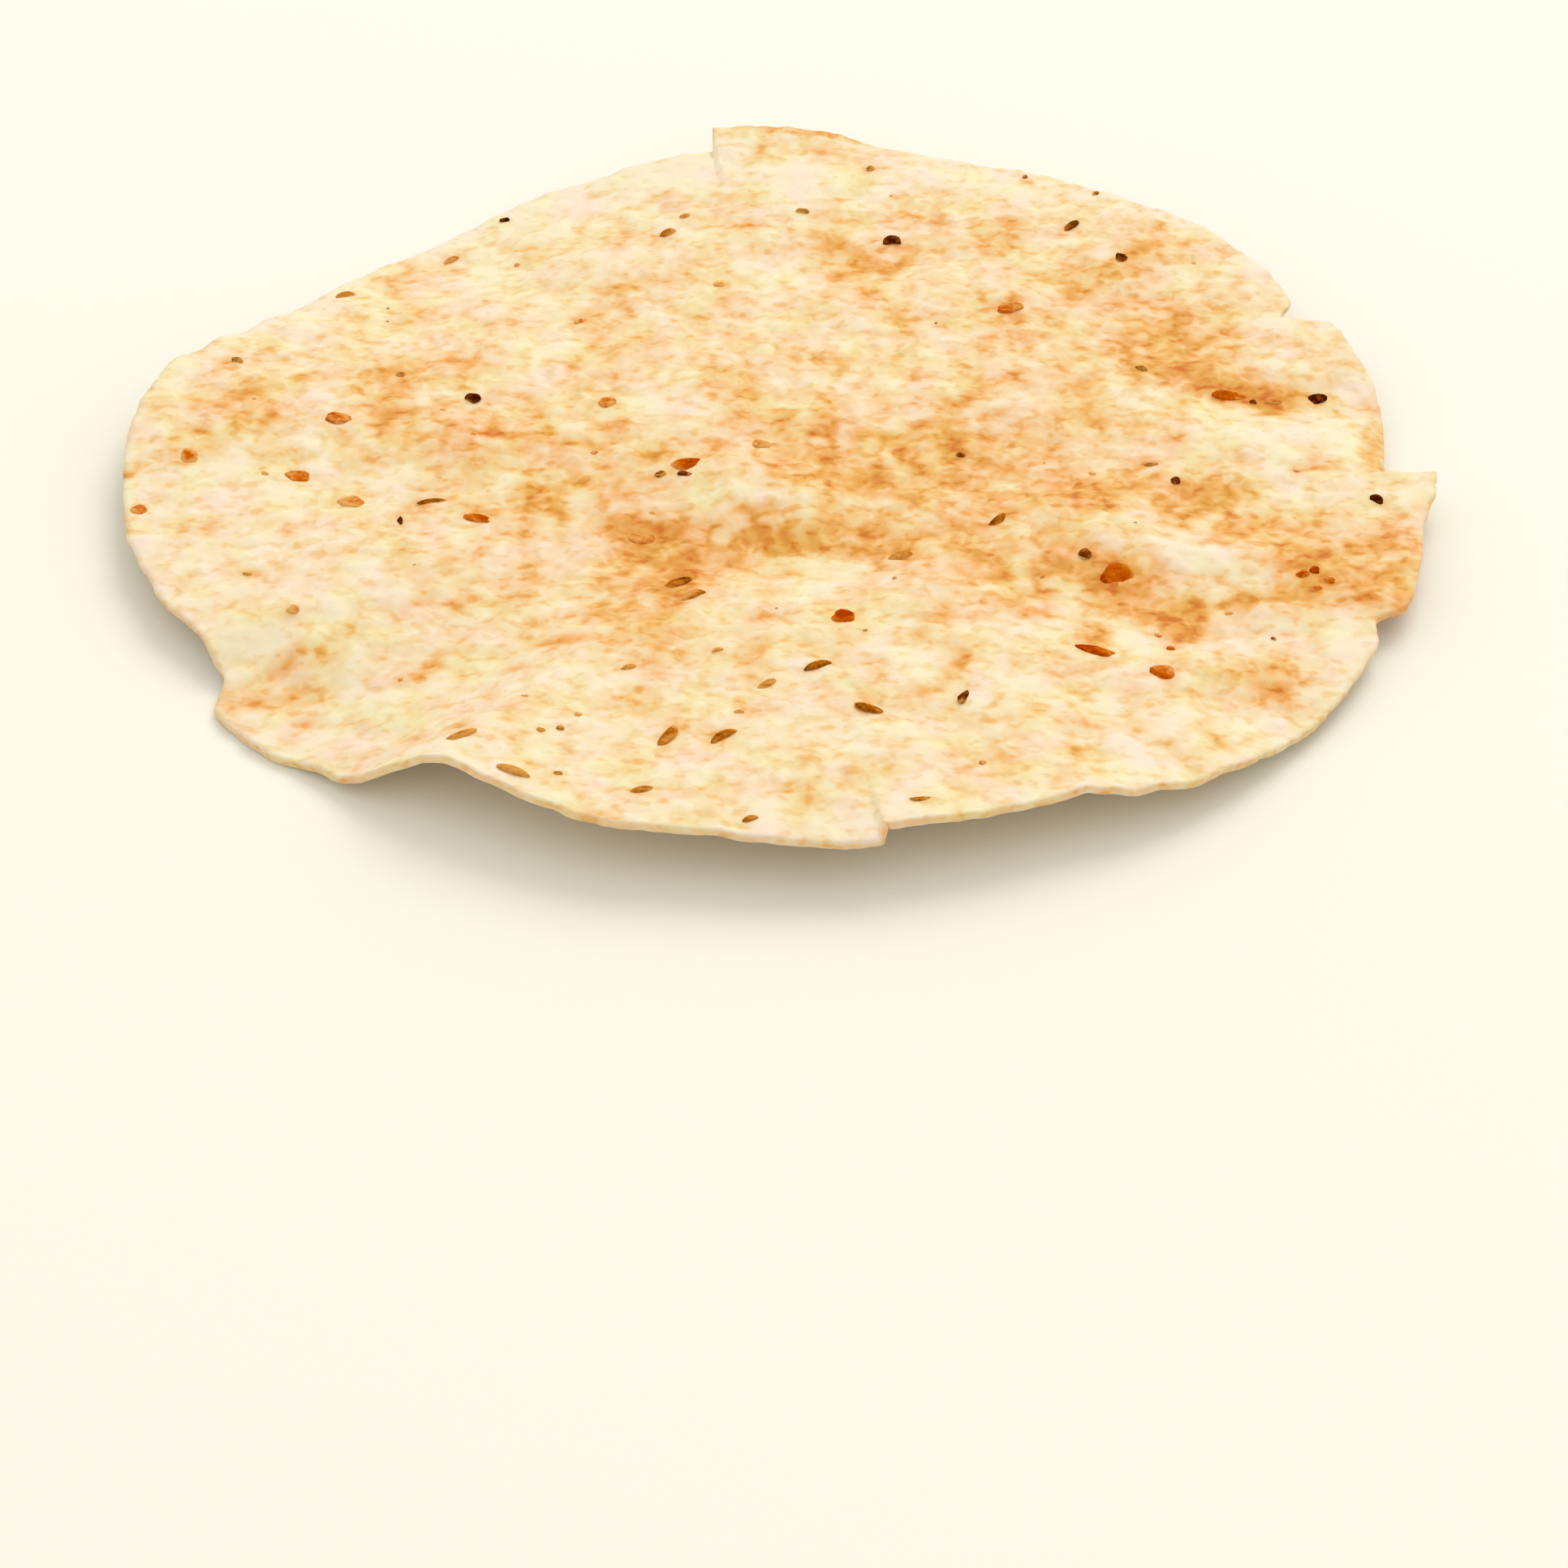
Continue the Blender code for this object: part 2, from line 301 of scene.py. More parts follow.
@dataclass(frozen=True)
class CrispDough:
    """Lentil dough, rolled thin and puffed in hot oil: dry, matt and finely wrinkled, cream where
    it rises off the heat and tan to orange-brown where it lay on it."""

    palest: str = "#F3EAD6"
    cream: str = "#EFDDBA"
    straw: str = "#ECCC9A"
    tan: str = "#EAB36B"
    browned: str = "#DB9B3C"
    scorched: str = "#D07212"
    rosy: str = "#FEF3F3"
    golden: str = "#FBFBE5"
    roughness: float = 0.72
    specular: float = 0.3
    sheen: float = 0.08
    wrinkle: float = 2.6 * MM
    crease_length: float = 2.1 * MM
    crease_width: float = 1.5 * MM
    crumb: float = 0.7 * MM
    pore: float = 1.9 * MM
    tint: float = 7.0 * MM
    relief: float = 0.09 * MM
    relief_strength: float = 0.8
    crumb_share: float = 0.06
    pore_share: float = 0.30
    wrinkle_painted_shade: float = 0.13
    crease_noise: tuple[float, float] = (0.53, 0.67)
    crease_browning: tuple[float, float] = (-0.02, 0.19)
    well_toasted: float = 0.6
    wrinkle_strength: tuple[float, float] = (0.5, 1.5)
    tint_noise: tuple[float, float] = (0.35, 0.65)

    def make(self) -> bpy.types.Material:
        """Builds the material: one height, from wrinkles, pores and crumb, bumps the face. The
        toast and painted shade that the mesh carries is browner where the wrinkles are low, which
        is painted shade in the hollows of the bump, the more so where the dough is more toasted,
        and in short creases. A slow drift of tint takes the colour from rosy to golden.

        Returns:
            The material.
        """
        material, tree, shader = new_material("crisp_fried_dough")
        place = add_node(tree, "ShaderNodeTexCoord").outputs["Object"]
        wrinkles = add_node(
            tree,
            "ShaderNodeTexNoise",
            {"Scale": 1 / self.wrinkle, "Detail": 1.5, "Roughness": 0.45, "Distortion": 0.6},
            {"Vector": place},
        ).outputs["Fac"]
        crumb = add_node(
            tree,
            "ShaderNodeTexNoise",
            {"Scale": 1 / self.crumb, "Detail": 2.0, "Roughness": 0.6},
            {"Vector": place},
        ).outputs["Fac"]
        pores = add_node(
            tree,
            "ShaderNodeTexVoronoi",
            {"feature": "SMOOTH_F1", "Scale": 1 / self.pore, "Smoothness": 0.6},
            {"Vector": place},
        ).outputs["Distance"]
        rough = add_node(
            tree,
            "ShaderNodeMath",
            {"operation": "MULTIPLY_ADD", 1: self.crumb_share},
            {0: crumb, 2: wrinkles},
        ).outputs[0]
        height = add_node(
            tree,
            "ShaderNodeMath",
            {"operation": "MULTIPLY_ADD", 1: -self.pore_share},
            {0: pores, 2: rough},
        ).outputs[0]
        bump = add_node(
            tree,
            "ShaderNodeBump",
            {"Strength": self.relief_strength, "Distance": self.relief},
            {"Height": height},
        ).outputs["Normal"]

        # The browning that the mesh carries, painted shade of the relief included.
        toast = add_node(tree, "ShaderNodeAttribute", {"attribute_name": "toast"}).outputs["Fac"]
        # Painted shade: the dough is browner where the wrinkles, which also drive the bump, are low.
        browning = add_node(
            tree,
            "ShaderNodeMapRange",
            {"range": (*NOISE_RANGE, self.wrinkle_painted_shade, -self.wrinkle_painted_shade), "clamp": False},
            {"Value": wrinkles},
        ).outputs["Result"]
        drawn_out = add_node(
            tree,
            "ShaderNodeMapping",
            {"Scale": (1 / self.crease_length, 1 / self.crease_width, 1 / self.crease_width)},
            {"Vector": place},
        ).outputs["Vector"]
        dashes = add_node(
            tree, "ShaderNodeTexNoise", {"Scale": 1.0, "Detail": 1.0}, {"Vector": drawn_out}
        ).outputs["Fac"]
        creases = add_node(
            tree,
            "ShaderNodeMapRange",
            {"range": (*self.crease_noise, *self.crease_browning)},
            {"Value": dashes},
        ).outputs["Result"]
        strength = add_node(
            tree,
            "ShaderNodeMapRange",
            {"range": (0.0, self.well_toasted, *self.wrinkle_strength)},
            {"Value": toast},
        ).outputs["Result"]
        creased = add_node(
            tree, "ShaderNodeMath", {"operation": "ADD"}, {0: toast, 1: creases}
        ).outputs[0]
        level = add_node(
            tree,
            "ShaderNodeMath",
            {"operation": "MULTIPLY_ADD"},
            {0: browning, 1: strength, 2: creased},
        ).outputs[0]
        stops = (
            (0.0, self.palest),
            (0.2, self.cream),
            (0.4, self.straw),
            (0.6, self.tan),
            (0.8, self.browned),
            (1.0, self.scorched),
        )
        colour = add_node(
            tree, "ShaderNodeValToRGB", {"stops": stops}, {"Fac": level}
        ).outputs["Color"]

        drift = add_node(
            tree, "ShaderNodeTexNoise", {"Scale": 1 / self.tint, "Detail": 2.0}, {"Vector": place}
        ).outputs["Fac"]
        stops = tuple(zip(self.tint_noise, (self.rosy, self.golden)))
        tints = add_node(
            tree, "ShaderNodeValToRGB", {"stops": stops}, {"Fac": drift}
        ).outputs["Color"]
        tinted = add_node(
            tree,
            "ShaderNodeMix",
            {"data_type": "RGBA", "blend_type": "MULTIPLY", 0: 1.0},
            {6: colour, 7: tints},
        ).outputs[2]
        tree.links.new(tinted, shader.inputs["Base Color"])
        tree.links.new(bump, shader.inputs["Normal"])
        shader.inputs["Roughness"].default_value = self.roughness
        shader.inputs["Sheen Weight"].default_value = self.sheen
        shader.inputs["Specular IOR Level"].default_value = self.specular
        return material


@dataclass(frozen=True)
class DriedSpice:
    """Dried spice, cracked or whole, browned in the oil: dull, rough, with painted shade that
    darkens the creases of its bump, and with each bit of its own tone."""

    name: str
    dark: str
    middle: str
    light: str
    grain: float = 0.5 * MM
    grain_tone_and_shade: float = 0.18
    relief: float = 0.1 * MM
    relief_strength: float = 0.6
    roughness: float = 0.7
    specular: float = 0.0

    def make(self) -> bpy.types.Material:
        """Builds the material: the tone that each bit carries, broken up by its grain, which is
        darker where the grain's bump is low: random grain tone and painted shade in one.

        Returns:
            The material.
        """
        material, tree, shader = new_material(self.name)
        place = add_node(tree, "ShaderNodeTexCoord").outputs["Object"]
        grain = add_node(
            tree, "ShaderNodeTexNoise", {"Scale": 1 / self.grain, "Detail": 2.0}, {"Vector": place}
        ).outputs["Fac"]
        tone = add_node(tree, "ShaderNodeAttribute", {"attribute_name": "tone"}).outputs["Fac"]
        # Grain tone and painted shade: lighter where the grain, which also drives the bump, is high,
        # darker in its hollows.
        broken = add_node(
            tree,
            "ShaderNodeMapRange",
            {"range": (*NOISE_RANGE, -self.grain_tone_and_shade, self.grain_tone_and_shade)},
            {"Value": grain},
        ).outputs["Result"]
        level = add_node(
            tree, "ShaderNodeMath", {"operation": "ADD"}, {0: tone, 1: broken}
        ).outputs[0]
        stops = ((0.0, self.dark), (0.5, self.middle), (1.0, self.light))
        colour = add_node(
            tree, "ShaderNodeValToRGB", {"stops": stops}, {"Fac": level}
        ).outputs["Color"]
        bump = add_node(
            tree,
            "ShaderNodeBump",
            {"Strength": self.relief_strength, "Distance": self.relief},
            {"Height": grain},
        ).outputs["Normal"]
        tree.links.new(colour, shader.inputs["Base Color"])
        tree.links.new(bump, shader.inputs["Normal"])
        shader.inputs["Roughness"].default_value = self.roughness
        shader.inputs["Specular IOR Level"].default_value = self.specular
        return material


# ---------------------------------------------------------------------------------------------
# Seasoning
# ---------------------------------------------------------------------------------------------


class Spice(Enum):
    """The kinds of seasoning, each with its material slot's name."""

    PEPPER = "pepper"
    CUMIN = "cumin"
    HUSK = "husk"


# Pepper bits: x, y, length, width (mm), turn (degrees), tone from 0, black, to 1, tan.
PEPPER_BITS = (
    (-78.5, 22.4, 2.2, 1.7, -40, 0.65),
    (-44.0, 12.9, 2.9, 2.7, 20, 0.05),
    (-54.5, 19.9, 1.6, 1.4, 0, 0.8),
    (-42.5, 68.4, 1.7, 1.3, 20, 0.25),
    (17.0, 56.9, 3.2, 2.7, 0, 0.05),
    (3.5, 64.4, 2.1, 1.4, 0, 0.6),
    (14.0, 76.9, 1.7, 1.4, 0, 0.7),
    (51.0, 50.4, 2.7, 2.6, 40, 0.15),
    (52.5, 21.9, 2.4, 1.4, -40, 0.65),
    (68.2, 14.6, 1.6, 1.0, 0, 0.5),
    (77.5, 15.4, 3.8, 2.8, -5, 0.1),
    (52.0, -2.6, 2.2, 1.2, 0, 0.75),
    (55.0, -6.6, 1.9, 1.8, 0, 0.25),
    (82.5, -11.1, 2.2, 2.2, 30, 0.1),
    (41.5, -24.6, 2.1, 2.2, 30, 0.45),
    (23.5, -58.6, 3.4, 2.0, 80, 0.15),
    (-52.0, -16.1, 2.4, 0.9, 110, 0.2),
    (-16.5, -6.1, 1.7, 1.3, 0, 0.6),
    (-13.0, -6.4, 2.7, 1.5, 0, 0.35),
    (38.1, 75.5, 1.3, 0.9, 0, 0.85),
    (48.8, 70.4, 1.5, 1.0, 0, 0.8),
    (25.5, -0.1, 1.5, 1.2, 0, 0.6),
    (-71.5, -29.1, 1.3, 1.0, 0, 0.95),
    (-30.0, -66.6, 1.4, 1.0, 0, 0.85),
    (-27.5, -66.1, 1.4, 1.0, 0, 0.9),
    (-27.5, -76.1, 1.2, 0.9, 0, 0.95),
)

# Cumin seeds: the same columns.
CUMIN_SEEDS = (
    (-65.0, 45.4, 3.2, 1.3, 25, 0.6),
    (-50.0, 57.4, 3.0, 1.3, 40, 0.75),
    (-17.0, 59.4, 2.7, 1.5, 15, 0.7),
    (-14.5, 64.4, 1.8, 1.0, 20, 0.95),
    (44.5, 60.4, 3.4, 1.4, 50, 0.15),
    (-48.0, -11.6, 4.3, 0.8, 14, 0.35),
    (16.5, -24.1, 3.9, 1.7, 30, 0.6),
    (30.0, -16.1, 3.2, 1.4, 45, 0.3),
    (-13.5, -30.1, 4.4, 1.7, 32, 0.3),
    (-11.5, -33.9, 3.9, 1.6, 32, 0.85),
    (5.0, -51.1, 4.1, 1.4, 25, 0.35),
    (-1.5, -55.1, 3.4, 1.3, 42, 0.8),
    (11.5, -61.1, 4.0, 1.6, -22, 0.4),
    (-14.0, -66.6, 5.0, 1.9, 68, 0.5),
    (-7.0, -67.1, 4.2, 1.4, 38, 0.4),
    (-40.0, -69.6, 4.6, 1.3, 18, 0.8),
    (-33.0, -76.6, 4.7, 1.6, -22, 0.95),
    (-17.0, -78.6, 3.2, 1.1, 12, 0.5),
    (-3.5, -84.6, 2.2, 1.0, 20, 0.5),
    (17.5, -81.1, 3.2, 0.8, 0, 0.6),
    (-19.5, -51.6, 2.2, 0.9, 25, 0.9),
    (-8.0, -47.6, 1.6, 0.7, 20, 0.9),
)

# Flakes of chilli husk: the same columns.
HUSK_FLAKES = (
    (-82.5, -2.1, 2.8, 2.8, 0, 0.7),
    (-88.0, -14.1, 2.6, 2.0, 0, 0.7),
    (-67.0, -5.6, 3.5, 2.7, -10, 0.55),
    (-62.5, 7.4, 3.9, 2.7, 0, 0.75),
    (-59.0, -11.6, 3.9, 2.7, 0, 0.85),
    (-41.5, -15.6, 4.2, 1.9, -12, 0.15),
    (-29.5, 34.9, 1.4, 1.4, 0, 0.6),
    (-9.0, 44.4, 1.6, 1.6, 0, 0.9),
    (-24.5, 11.9, 2.8, 2.7, 0, 0.6),
    (-13.0, -3.6, 4.8, 2.7, 5, 0.2),
    (-2.5, 1.4, 2.6, 2.3, 0, 0.95),
    (34.0, 36.9, 4.0, 2.6, 25, 0.55),
    (45.5, -28.6, 4.4, 3.9, 0, 0.35),
    (41.5, -46.6, 5.4, 2.2, -20, 0.35),
    (50.0, -51.1, 3.2, 3.3, 20, 0.4),
    (51.5, -45.1, 1.2, 1.0, 0, 0.45),
    (8.5, -39.6, 3.5, 3.3, 10, 0.05),
    (70.5, -29.1, 1.9, 1.5, 0, 0.15),
    (72.2, -28.1, 1.5, 1.4, 0, 0.0),
    (74.0, -30.1, 1.5, 1.4, 0, 0.5),
    (72.0, -31.8, 1.9, 1.1, 0, 0.6),
    (64.8, 15.6, 5.4, 1.9, -6, 0.45),
    (70.8, 14.9, 2.6, 1.1, -4, 0.75),
    (-18.7, -19.4, 3.6, 2.6, 0, 0.85),
    (-64.5, -37.6, 1.6, 1.6, 0, 0.9),
)


@dataclass
class Seasoning:
    """All the bits of one kind of spice, sunk into the sheet's face: those of its table, and
    crumbs of it that are spread evenly over the face."""

    spice: Spice
    rows: tuple[Row, ...]
    finish: DriedSpice
    height: float
    sunk: float
    crumbs: int
    seed: int
    around: int = 14
    along: int = 9
    highest: float = 0.9
    chip_planes: int = 7
    chip_depth: tuple[float, float] = (0.35, 0.95)
    rib_count: int = 5
    rib_height: float = 0.12
    rib_bend: float = 0.28
    flake_waves: tuple[int, ...] = (2, 3, 4, 5)
    flake_ripple: float = 0.22
    flake_flatness: float = 2.5
    crumb_reach: float = 80.0
    crumb_length: tuple[float, float] = (0.5, 1.2)
    crumb_width: tuple[float, float] = (0.5, 0.9)
    crumb_turn: float = 40.0
    crumb_tone: tuple[float, float] = (0.75, 1.1)
    blotch: float = 0.45
    pale_edge: tuple[float, float] = (-0.25, 0.45)
    tilt: float = 0.30

    def scatter(self, draw: np.random.Generator) -> Array:
        """The rows of the crumbs, in the table's columns: a random place is as likely in any
        equal area of the face, because its distance is the reach times the root of chance.

        Args:
            draw: The source of chance.

        Returns:
            One row for each crumb.
        """
        distance = self.crumb_reach * np.sqrt(draw.uniform(0, 1, self.crumbs))
        bearing = draw.uniform(0, 2 * math.pi, self.crumbs)
        length = draw.uniform(*self.crumb_length, self.crumbs)
        width = length * draw.uniform(*self.crumb_width, self.crumbs)
        turn = draw.uniform(-self.crumb_turn, self.crumb_turn, self.crumbs)
        tone = draw.uniform(*self.crumb_tone, self.crumbs)
        place = distance * np.cos(bearing), distance * np.sin(bearing)
        return np.stack([*place, length, width, turn, tone], axis=1)

    def balls(self, count: int) -> Array:
        """Unit vectors to a grid on a ball, from its pole at +x to that at -x: the cosine of the
        way down, and its sine times the cosine and the sine of the turn.

        Args:
            count: How many balls.

        Returns:
            The vectors by bit, ring, place in the ring, and x, y and z.
        """
        polar = np.linspace(0, math.pi, self.along)[None, :, None]
        turn = np.linspace(0, 2 * math.pi, self.around, endpoint=False)[None, None, :]
        level = np.cos(polar) * np.ones_like(turn)
        way = np.stack([level, np.sin(polar) * np.cos(turn), np.sin(polar) * np.sin(turn)], axis=-1)
        return np.repeat(way, count, axis=0)

    def chipped(self, way: Array, draw: np.random.Generator) -> Array:
        """Cracked pepper: a ball cut by random planes. Along a way from the middle the distance
        is the least of one and each plane's depth over the way's share along its normal.

        Args:
            way: Unit vectors by bit, ring, place in the ring, and x, y and z.
            draw: The source of chance.

        Returns:
            The points, in the same order.
        """
        normal = draw.normal(0, 1, (len(way), self.chip_planes, 3))
        normal /= np.linalg.norm(normal, axis=2, keepdims=True)
        depth = draw.uniform(*self.chip_depth, (len(way), self.chip_planes))[:, :, None, None]
        share = np.einsum("srcv,spv->sprc", way, normal)
        reach = np.minimum(1.0, (depth / np.maximum(share, 0.01)).min(axis=1))
        return way * reach[..., None]

    def ribbed(self, way: Array, draw: np.random.Generator) -> Array:
        """A cumin seed: a ball whose girth is its own to the power 1.3, which points the ends,
        with ribs along it, each a turn of a cosine, and a random bend.

        Args:
            way: Unit vectors by bit, ring, place in the ring, and x, y and z.
            draw: The source of chance.

        Returns:
            The points, in the same order.
        """
        girth = np.hypot(way[..., 1], way[..., 2])
        turn = np.arctan2(way[..., 2], way[..., 1])
        girth = girth**0.3 * (1 + self.rib_height * np.cos(self.rib_count * turn))
        bend = draw.uniform(-self.rib_bend, self.rib_bend, (len(way), 1, 1))
        bent = way[..., 1] * girth + bend * (1 - 2 * way[..., 0] ** 2)
        return np.stack([way[..., 0], bent, way[..., 2] * girth], axis=-1)

    def flaked(self, way: Array, draw: np.random.Generator) -> Array:
        """A flake of husk: a ball with a flat top and an uneven outline, whose reach is one plus
        four waves, of two to five turns round it, each of a random start.

        Args:
            way: Unit vectors by bit, ring, place in the ring, and x, y and z.
            draw: The source of chance.

        Returns:
            The points, in the same order.
        """
        bearing = np.arctan2(way[..., 1], way[..., 0])
        outline = np.ones_like(bearing)
        for waves in self.flake_waves:
            start = draw.uniform(0, 2 * math.pi, (len(way), 1, 1))
            outline += self.flake_ripple / waves * np.cos(waves * bearing + start)
        flat = np.tanh(self.flake_flatness * way[..., 2])
        return np.stack([way[..., 0] * outline, way[..., 1] * outline, flat], axis=-1)

    def lay(self, shape: Array, rows: Array, sheet: "Sheet") -> Array:
        """Brings each bit to its size and lays it on the sheet. Its axes are its bearing in the
        slope there, the slope's normal, and the cross product of the two. Its middle stands off
        the face by half its height less its sunk share.

        Args:
            shape: Points from -1 to 1, by bit, ring, place in the ring, and x, y and z.
            rows: One row of the table for each bit.
            sheet: The sheet that carries them.

        Returns:
            The points, in the same order.
        """
        high = np.minimum(self.height, self.highest * rows[:, 3] * MM)
        size = np.stack([rows[:, 2] * MM, rows[:, 3] * MM, high], axis=1)
        local = 0.5 * shape * size[:, None, None, :]
        place, normal = sheet.surface_at(rows[:, 0] * MM, rows[:, 1] * MM)
        bearing = np.radians(rows[:, 4])
        along = np.stack([np.cos(bearing), np.sin(bearing), np.zeros(len(rows))], axis=1)
        along -= normal * np.sum(along * normal, axis=1, keepdims=True)
        along /= np.linalg.norm(along, axis=1, keepdims=True)
        axes = np.stack([along, np.cross(normal, along), normal], axis=1)
        middle = place + normal * (high * (0.5 - self.sunk))[:, None]
        return np.einsum("srck,skj->srcj", local, axes) + middle[:, None, None, :]

    def triangles(self, count: int) -> Array:
        """Two triangles for each cell of a ball's grid, and one for a cell at a pole.

        Args:
            count: How many balls.

        Returns:
            Rows of three vertex numbers.
        """
        row, column = np.meshgrid(np.arange(self.along - 1), np.arange(self.around), indexing="ij")
        here = (row * self.around + column).ravel()
        beside = (row * self.around + (column + 1) % self.around).ravel()
        below, corner = here + self.around, beside + self.around
        faces = np.concatenate(
            [
                np.stack([here, below, beside], axis=1)[self.around :],
                np.stack([beside, below, corner], axis=1)[: -self.around],
            ]
        )
        first = self.along * self.around * np.arange(count)
        return (faces[None] + first[:, None, None]).reshape(-1, 3)

    def tones(self, way: Array, own: Array, draw: np.random.Generator) -> Array:
        """The tone over each bit: its own, plus a random blotch, a random tilt along it, and a
        paler or darker edge that grows with the cube of the distance from its middle.

        Args:
            way: Unit vectors by bit, ring, place in the ring, and x, y and z.
            own: The tone of each bit.
            draw: The source of chance.

        Returns:
            The tone by bit, ring and place in the ring.
        """
        blotches = draw.uniform(-1, 1, way.shape[:3])
        blotches = (blotches + np.roll(blotches, 1, axis=2) + np.roll(blotches, 1, axis=1)) / 3
        tilts = draw.uniform(-self.tilt, self.tilt, (len(own), 1, 1)) * way[..., 0]
        edge = draw.uniform(*self.pale_edge, (len(own), 1, 1))
        edge = edge * np.hypot(way[..., 0], way[..., 1]) ** 3
        return own[:, None, None] + self.blotch * blotches + tilts + edge

    def build(self, sheet: "Sheet") -> bpy.types.Object:
        """Joins all the bits in one mesh, each laid on the sheet and with its own tones.

        Args:
            sheet: The sheet that carries them.

        Returns:
            The mesh object, in the frame's place.
        """
        draw = np.random.default_rng(self.seed)
        rows = np.vstack([np.array(self.rows), self.scatter(draw)])
        way = self.balls(len(rows))
        form = {Spice.PEPPER: self.chipped, Spice.CUMIN: self.ribbed, Spice.HUSK: self.flaked}
        points = self.lay(form[self.spice](way, draw), rows, sheet)
        name = f"{self.spice.value}_bits"
        piece = mesh_object(name, points.reshape(-1, 3), self.triangles(len(rows)))
        set_attribute(piece, "tone", self.tones(way, rows[:, 5], draw))
        weld_poles(piece)
        return piece

    def dress(self, piece: bpy.types.Object) -> None:
        """Gives the bits their finish and joins them to the part.

        Args:
            piece: The bits.
        """
        piece.data.materials.append(self.finish.make())
        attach(piece, BODY)
        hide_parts(NODE)


def weld_poles(piece: bpy.types.Object) -> None:
    """Merges the points that a closed ring of no width leaves, and turns every face outwards.

    Args:
        piece: The mesh object.
    """
    shape = bmesh.new()
    shape.from_mesh(piece.data)
    bmesh.ops.remove_doubles(shape, verts=shape.verts, dist=0.001 * MM)
    bmesh.ops.recalc_face_normals(shape, faces=shape.faces)
    shape.to_mesh(piece.data)
    shape.free()


# ---------------------------------------------------------------------------------------------
# The sheet
# ---------------------------------------------------------------------------------------------

# Rim, anticlockwise from +X: angle in degrees, distance from the middle and height.
RIM = (
    (6.0, 86.2, -3.0),
    (18.0, 86.6, -0.5),
    (24.5, 87.4, -0.4),
    (28.3, 81.8, -0.4),
    (30.5, 85.6, -0.3),
    (36.0, 87.6, -0.3),
    (46.0, 88.4, 0.4),
    (53.0, 87.6, 0.3),
    (64.0, 87.8, 0.2),
    (71.0, 86.8, 0.0),
    (80.0, 86.4, 0.0),
    (86.0, 88.2, 0.2),
    (98.0, 87.2, 0.0),
    (115.0, 87.2, -2.8),
    (131.0, 84.8, -4.9),
    (148.0, 85.6, -2.9),
    (155.0, 87.8, -1.3),
    (160.0, 90.6, -0.2),
    (166.0, 93.4, 0.9),
    (174.0, 93.8, 1.4),
    (190.0, 92.6, -0.5),
    (199.0, 90.6, -0.5),
    (207.0, 87.6, -0.5),
    (211.0, 87.4, -2.5),
    (214.5, 91.4, -3.8),
    (219.0, 91.2, -5.0),
    (228.0, 88.6, -3.2),
    (239.0, 84.1, 4.2),
    (254.0, 85.8, 3.0),
    (264.0, 84.2, 3.1),
    (280.0, 84.4, 3.3),
    (295.0, 84.4, 2.9),
    (301.0, 86.4, 1.2),
    (306.0, 87.2, -0.6),
    (320.0, 87.6, -2.8),
    (332.0, 87.0, -1.8),
    (335.5, 85.0, -1.6),
    (338.5, 88.2, -1.4),
    (346.0, 87.8, -1.4),
    (352.0, 86.8, -1.5),
)

# Torn places: angle of the tear, how far round that side runs (degrees), its reach and lift.
TORN_SIDES = (
    (359.0, 9.0, -3.4, -2.0),
    (359.0, -6.2, 3.0, 1.5),
    (98.2, -15.0, 4.1, 2.0),
    (277.2, -14.0, 1.8, -1.6),
)

# Long swells of the face: middle x and y, half length, half width, turn (degrees), height.
SWELLS = (
    (-45.0, -8.0, 40.0, 11.0, -15.0, -1.0),
    (-5.0, -22.0, 26.0, 8.0, 3.0, -1.8),
    (24.0, -3.0, 24.0, 12.0, 15.0, -1.0),
    (58.0, 33.0, 15.0, 10.0, -30.0, -0.9),
    (67.0, 17.0, 16.0, 5.0, 5.0, -1.0),
    (68.0, 6.0, 18.0, 6.0, 0.0, 1.2),
    (60.0, -12.0, 12.0, 8.0, 0.0, -0.9),
    (46.0, -29.0, 14.0, 6.0, 0.0, -1.2),
    (57.0, -22.0, 12.0, 4.5, -10.0, 1.0),
    (57.0, -38.0, 13.0, 6.0, -15.0, -1.0),
    (53.0, -46.0, 13.0, 5.0, 10.0, 0.9),
    (10.0, 54.0, 16.0, 7.0, 0.0, -0.8),
    (3.0, 76.0, 12.0, 6.0, 0.0, 0.8),
    (-14.0, 13.0, 10.0, 8.0, 0.0, 0.6),
    (-4.0, -8.0, 12.0, 6.0, 0.0, 0.9),
    (-27.0, -36.0, 13.0, 7.0, 20.0, -0.7),
    (-68.0, -50.0, 13.0, 9.0, -35.0, -1.4),
)
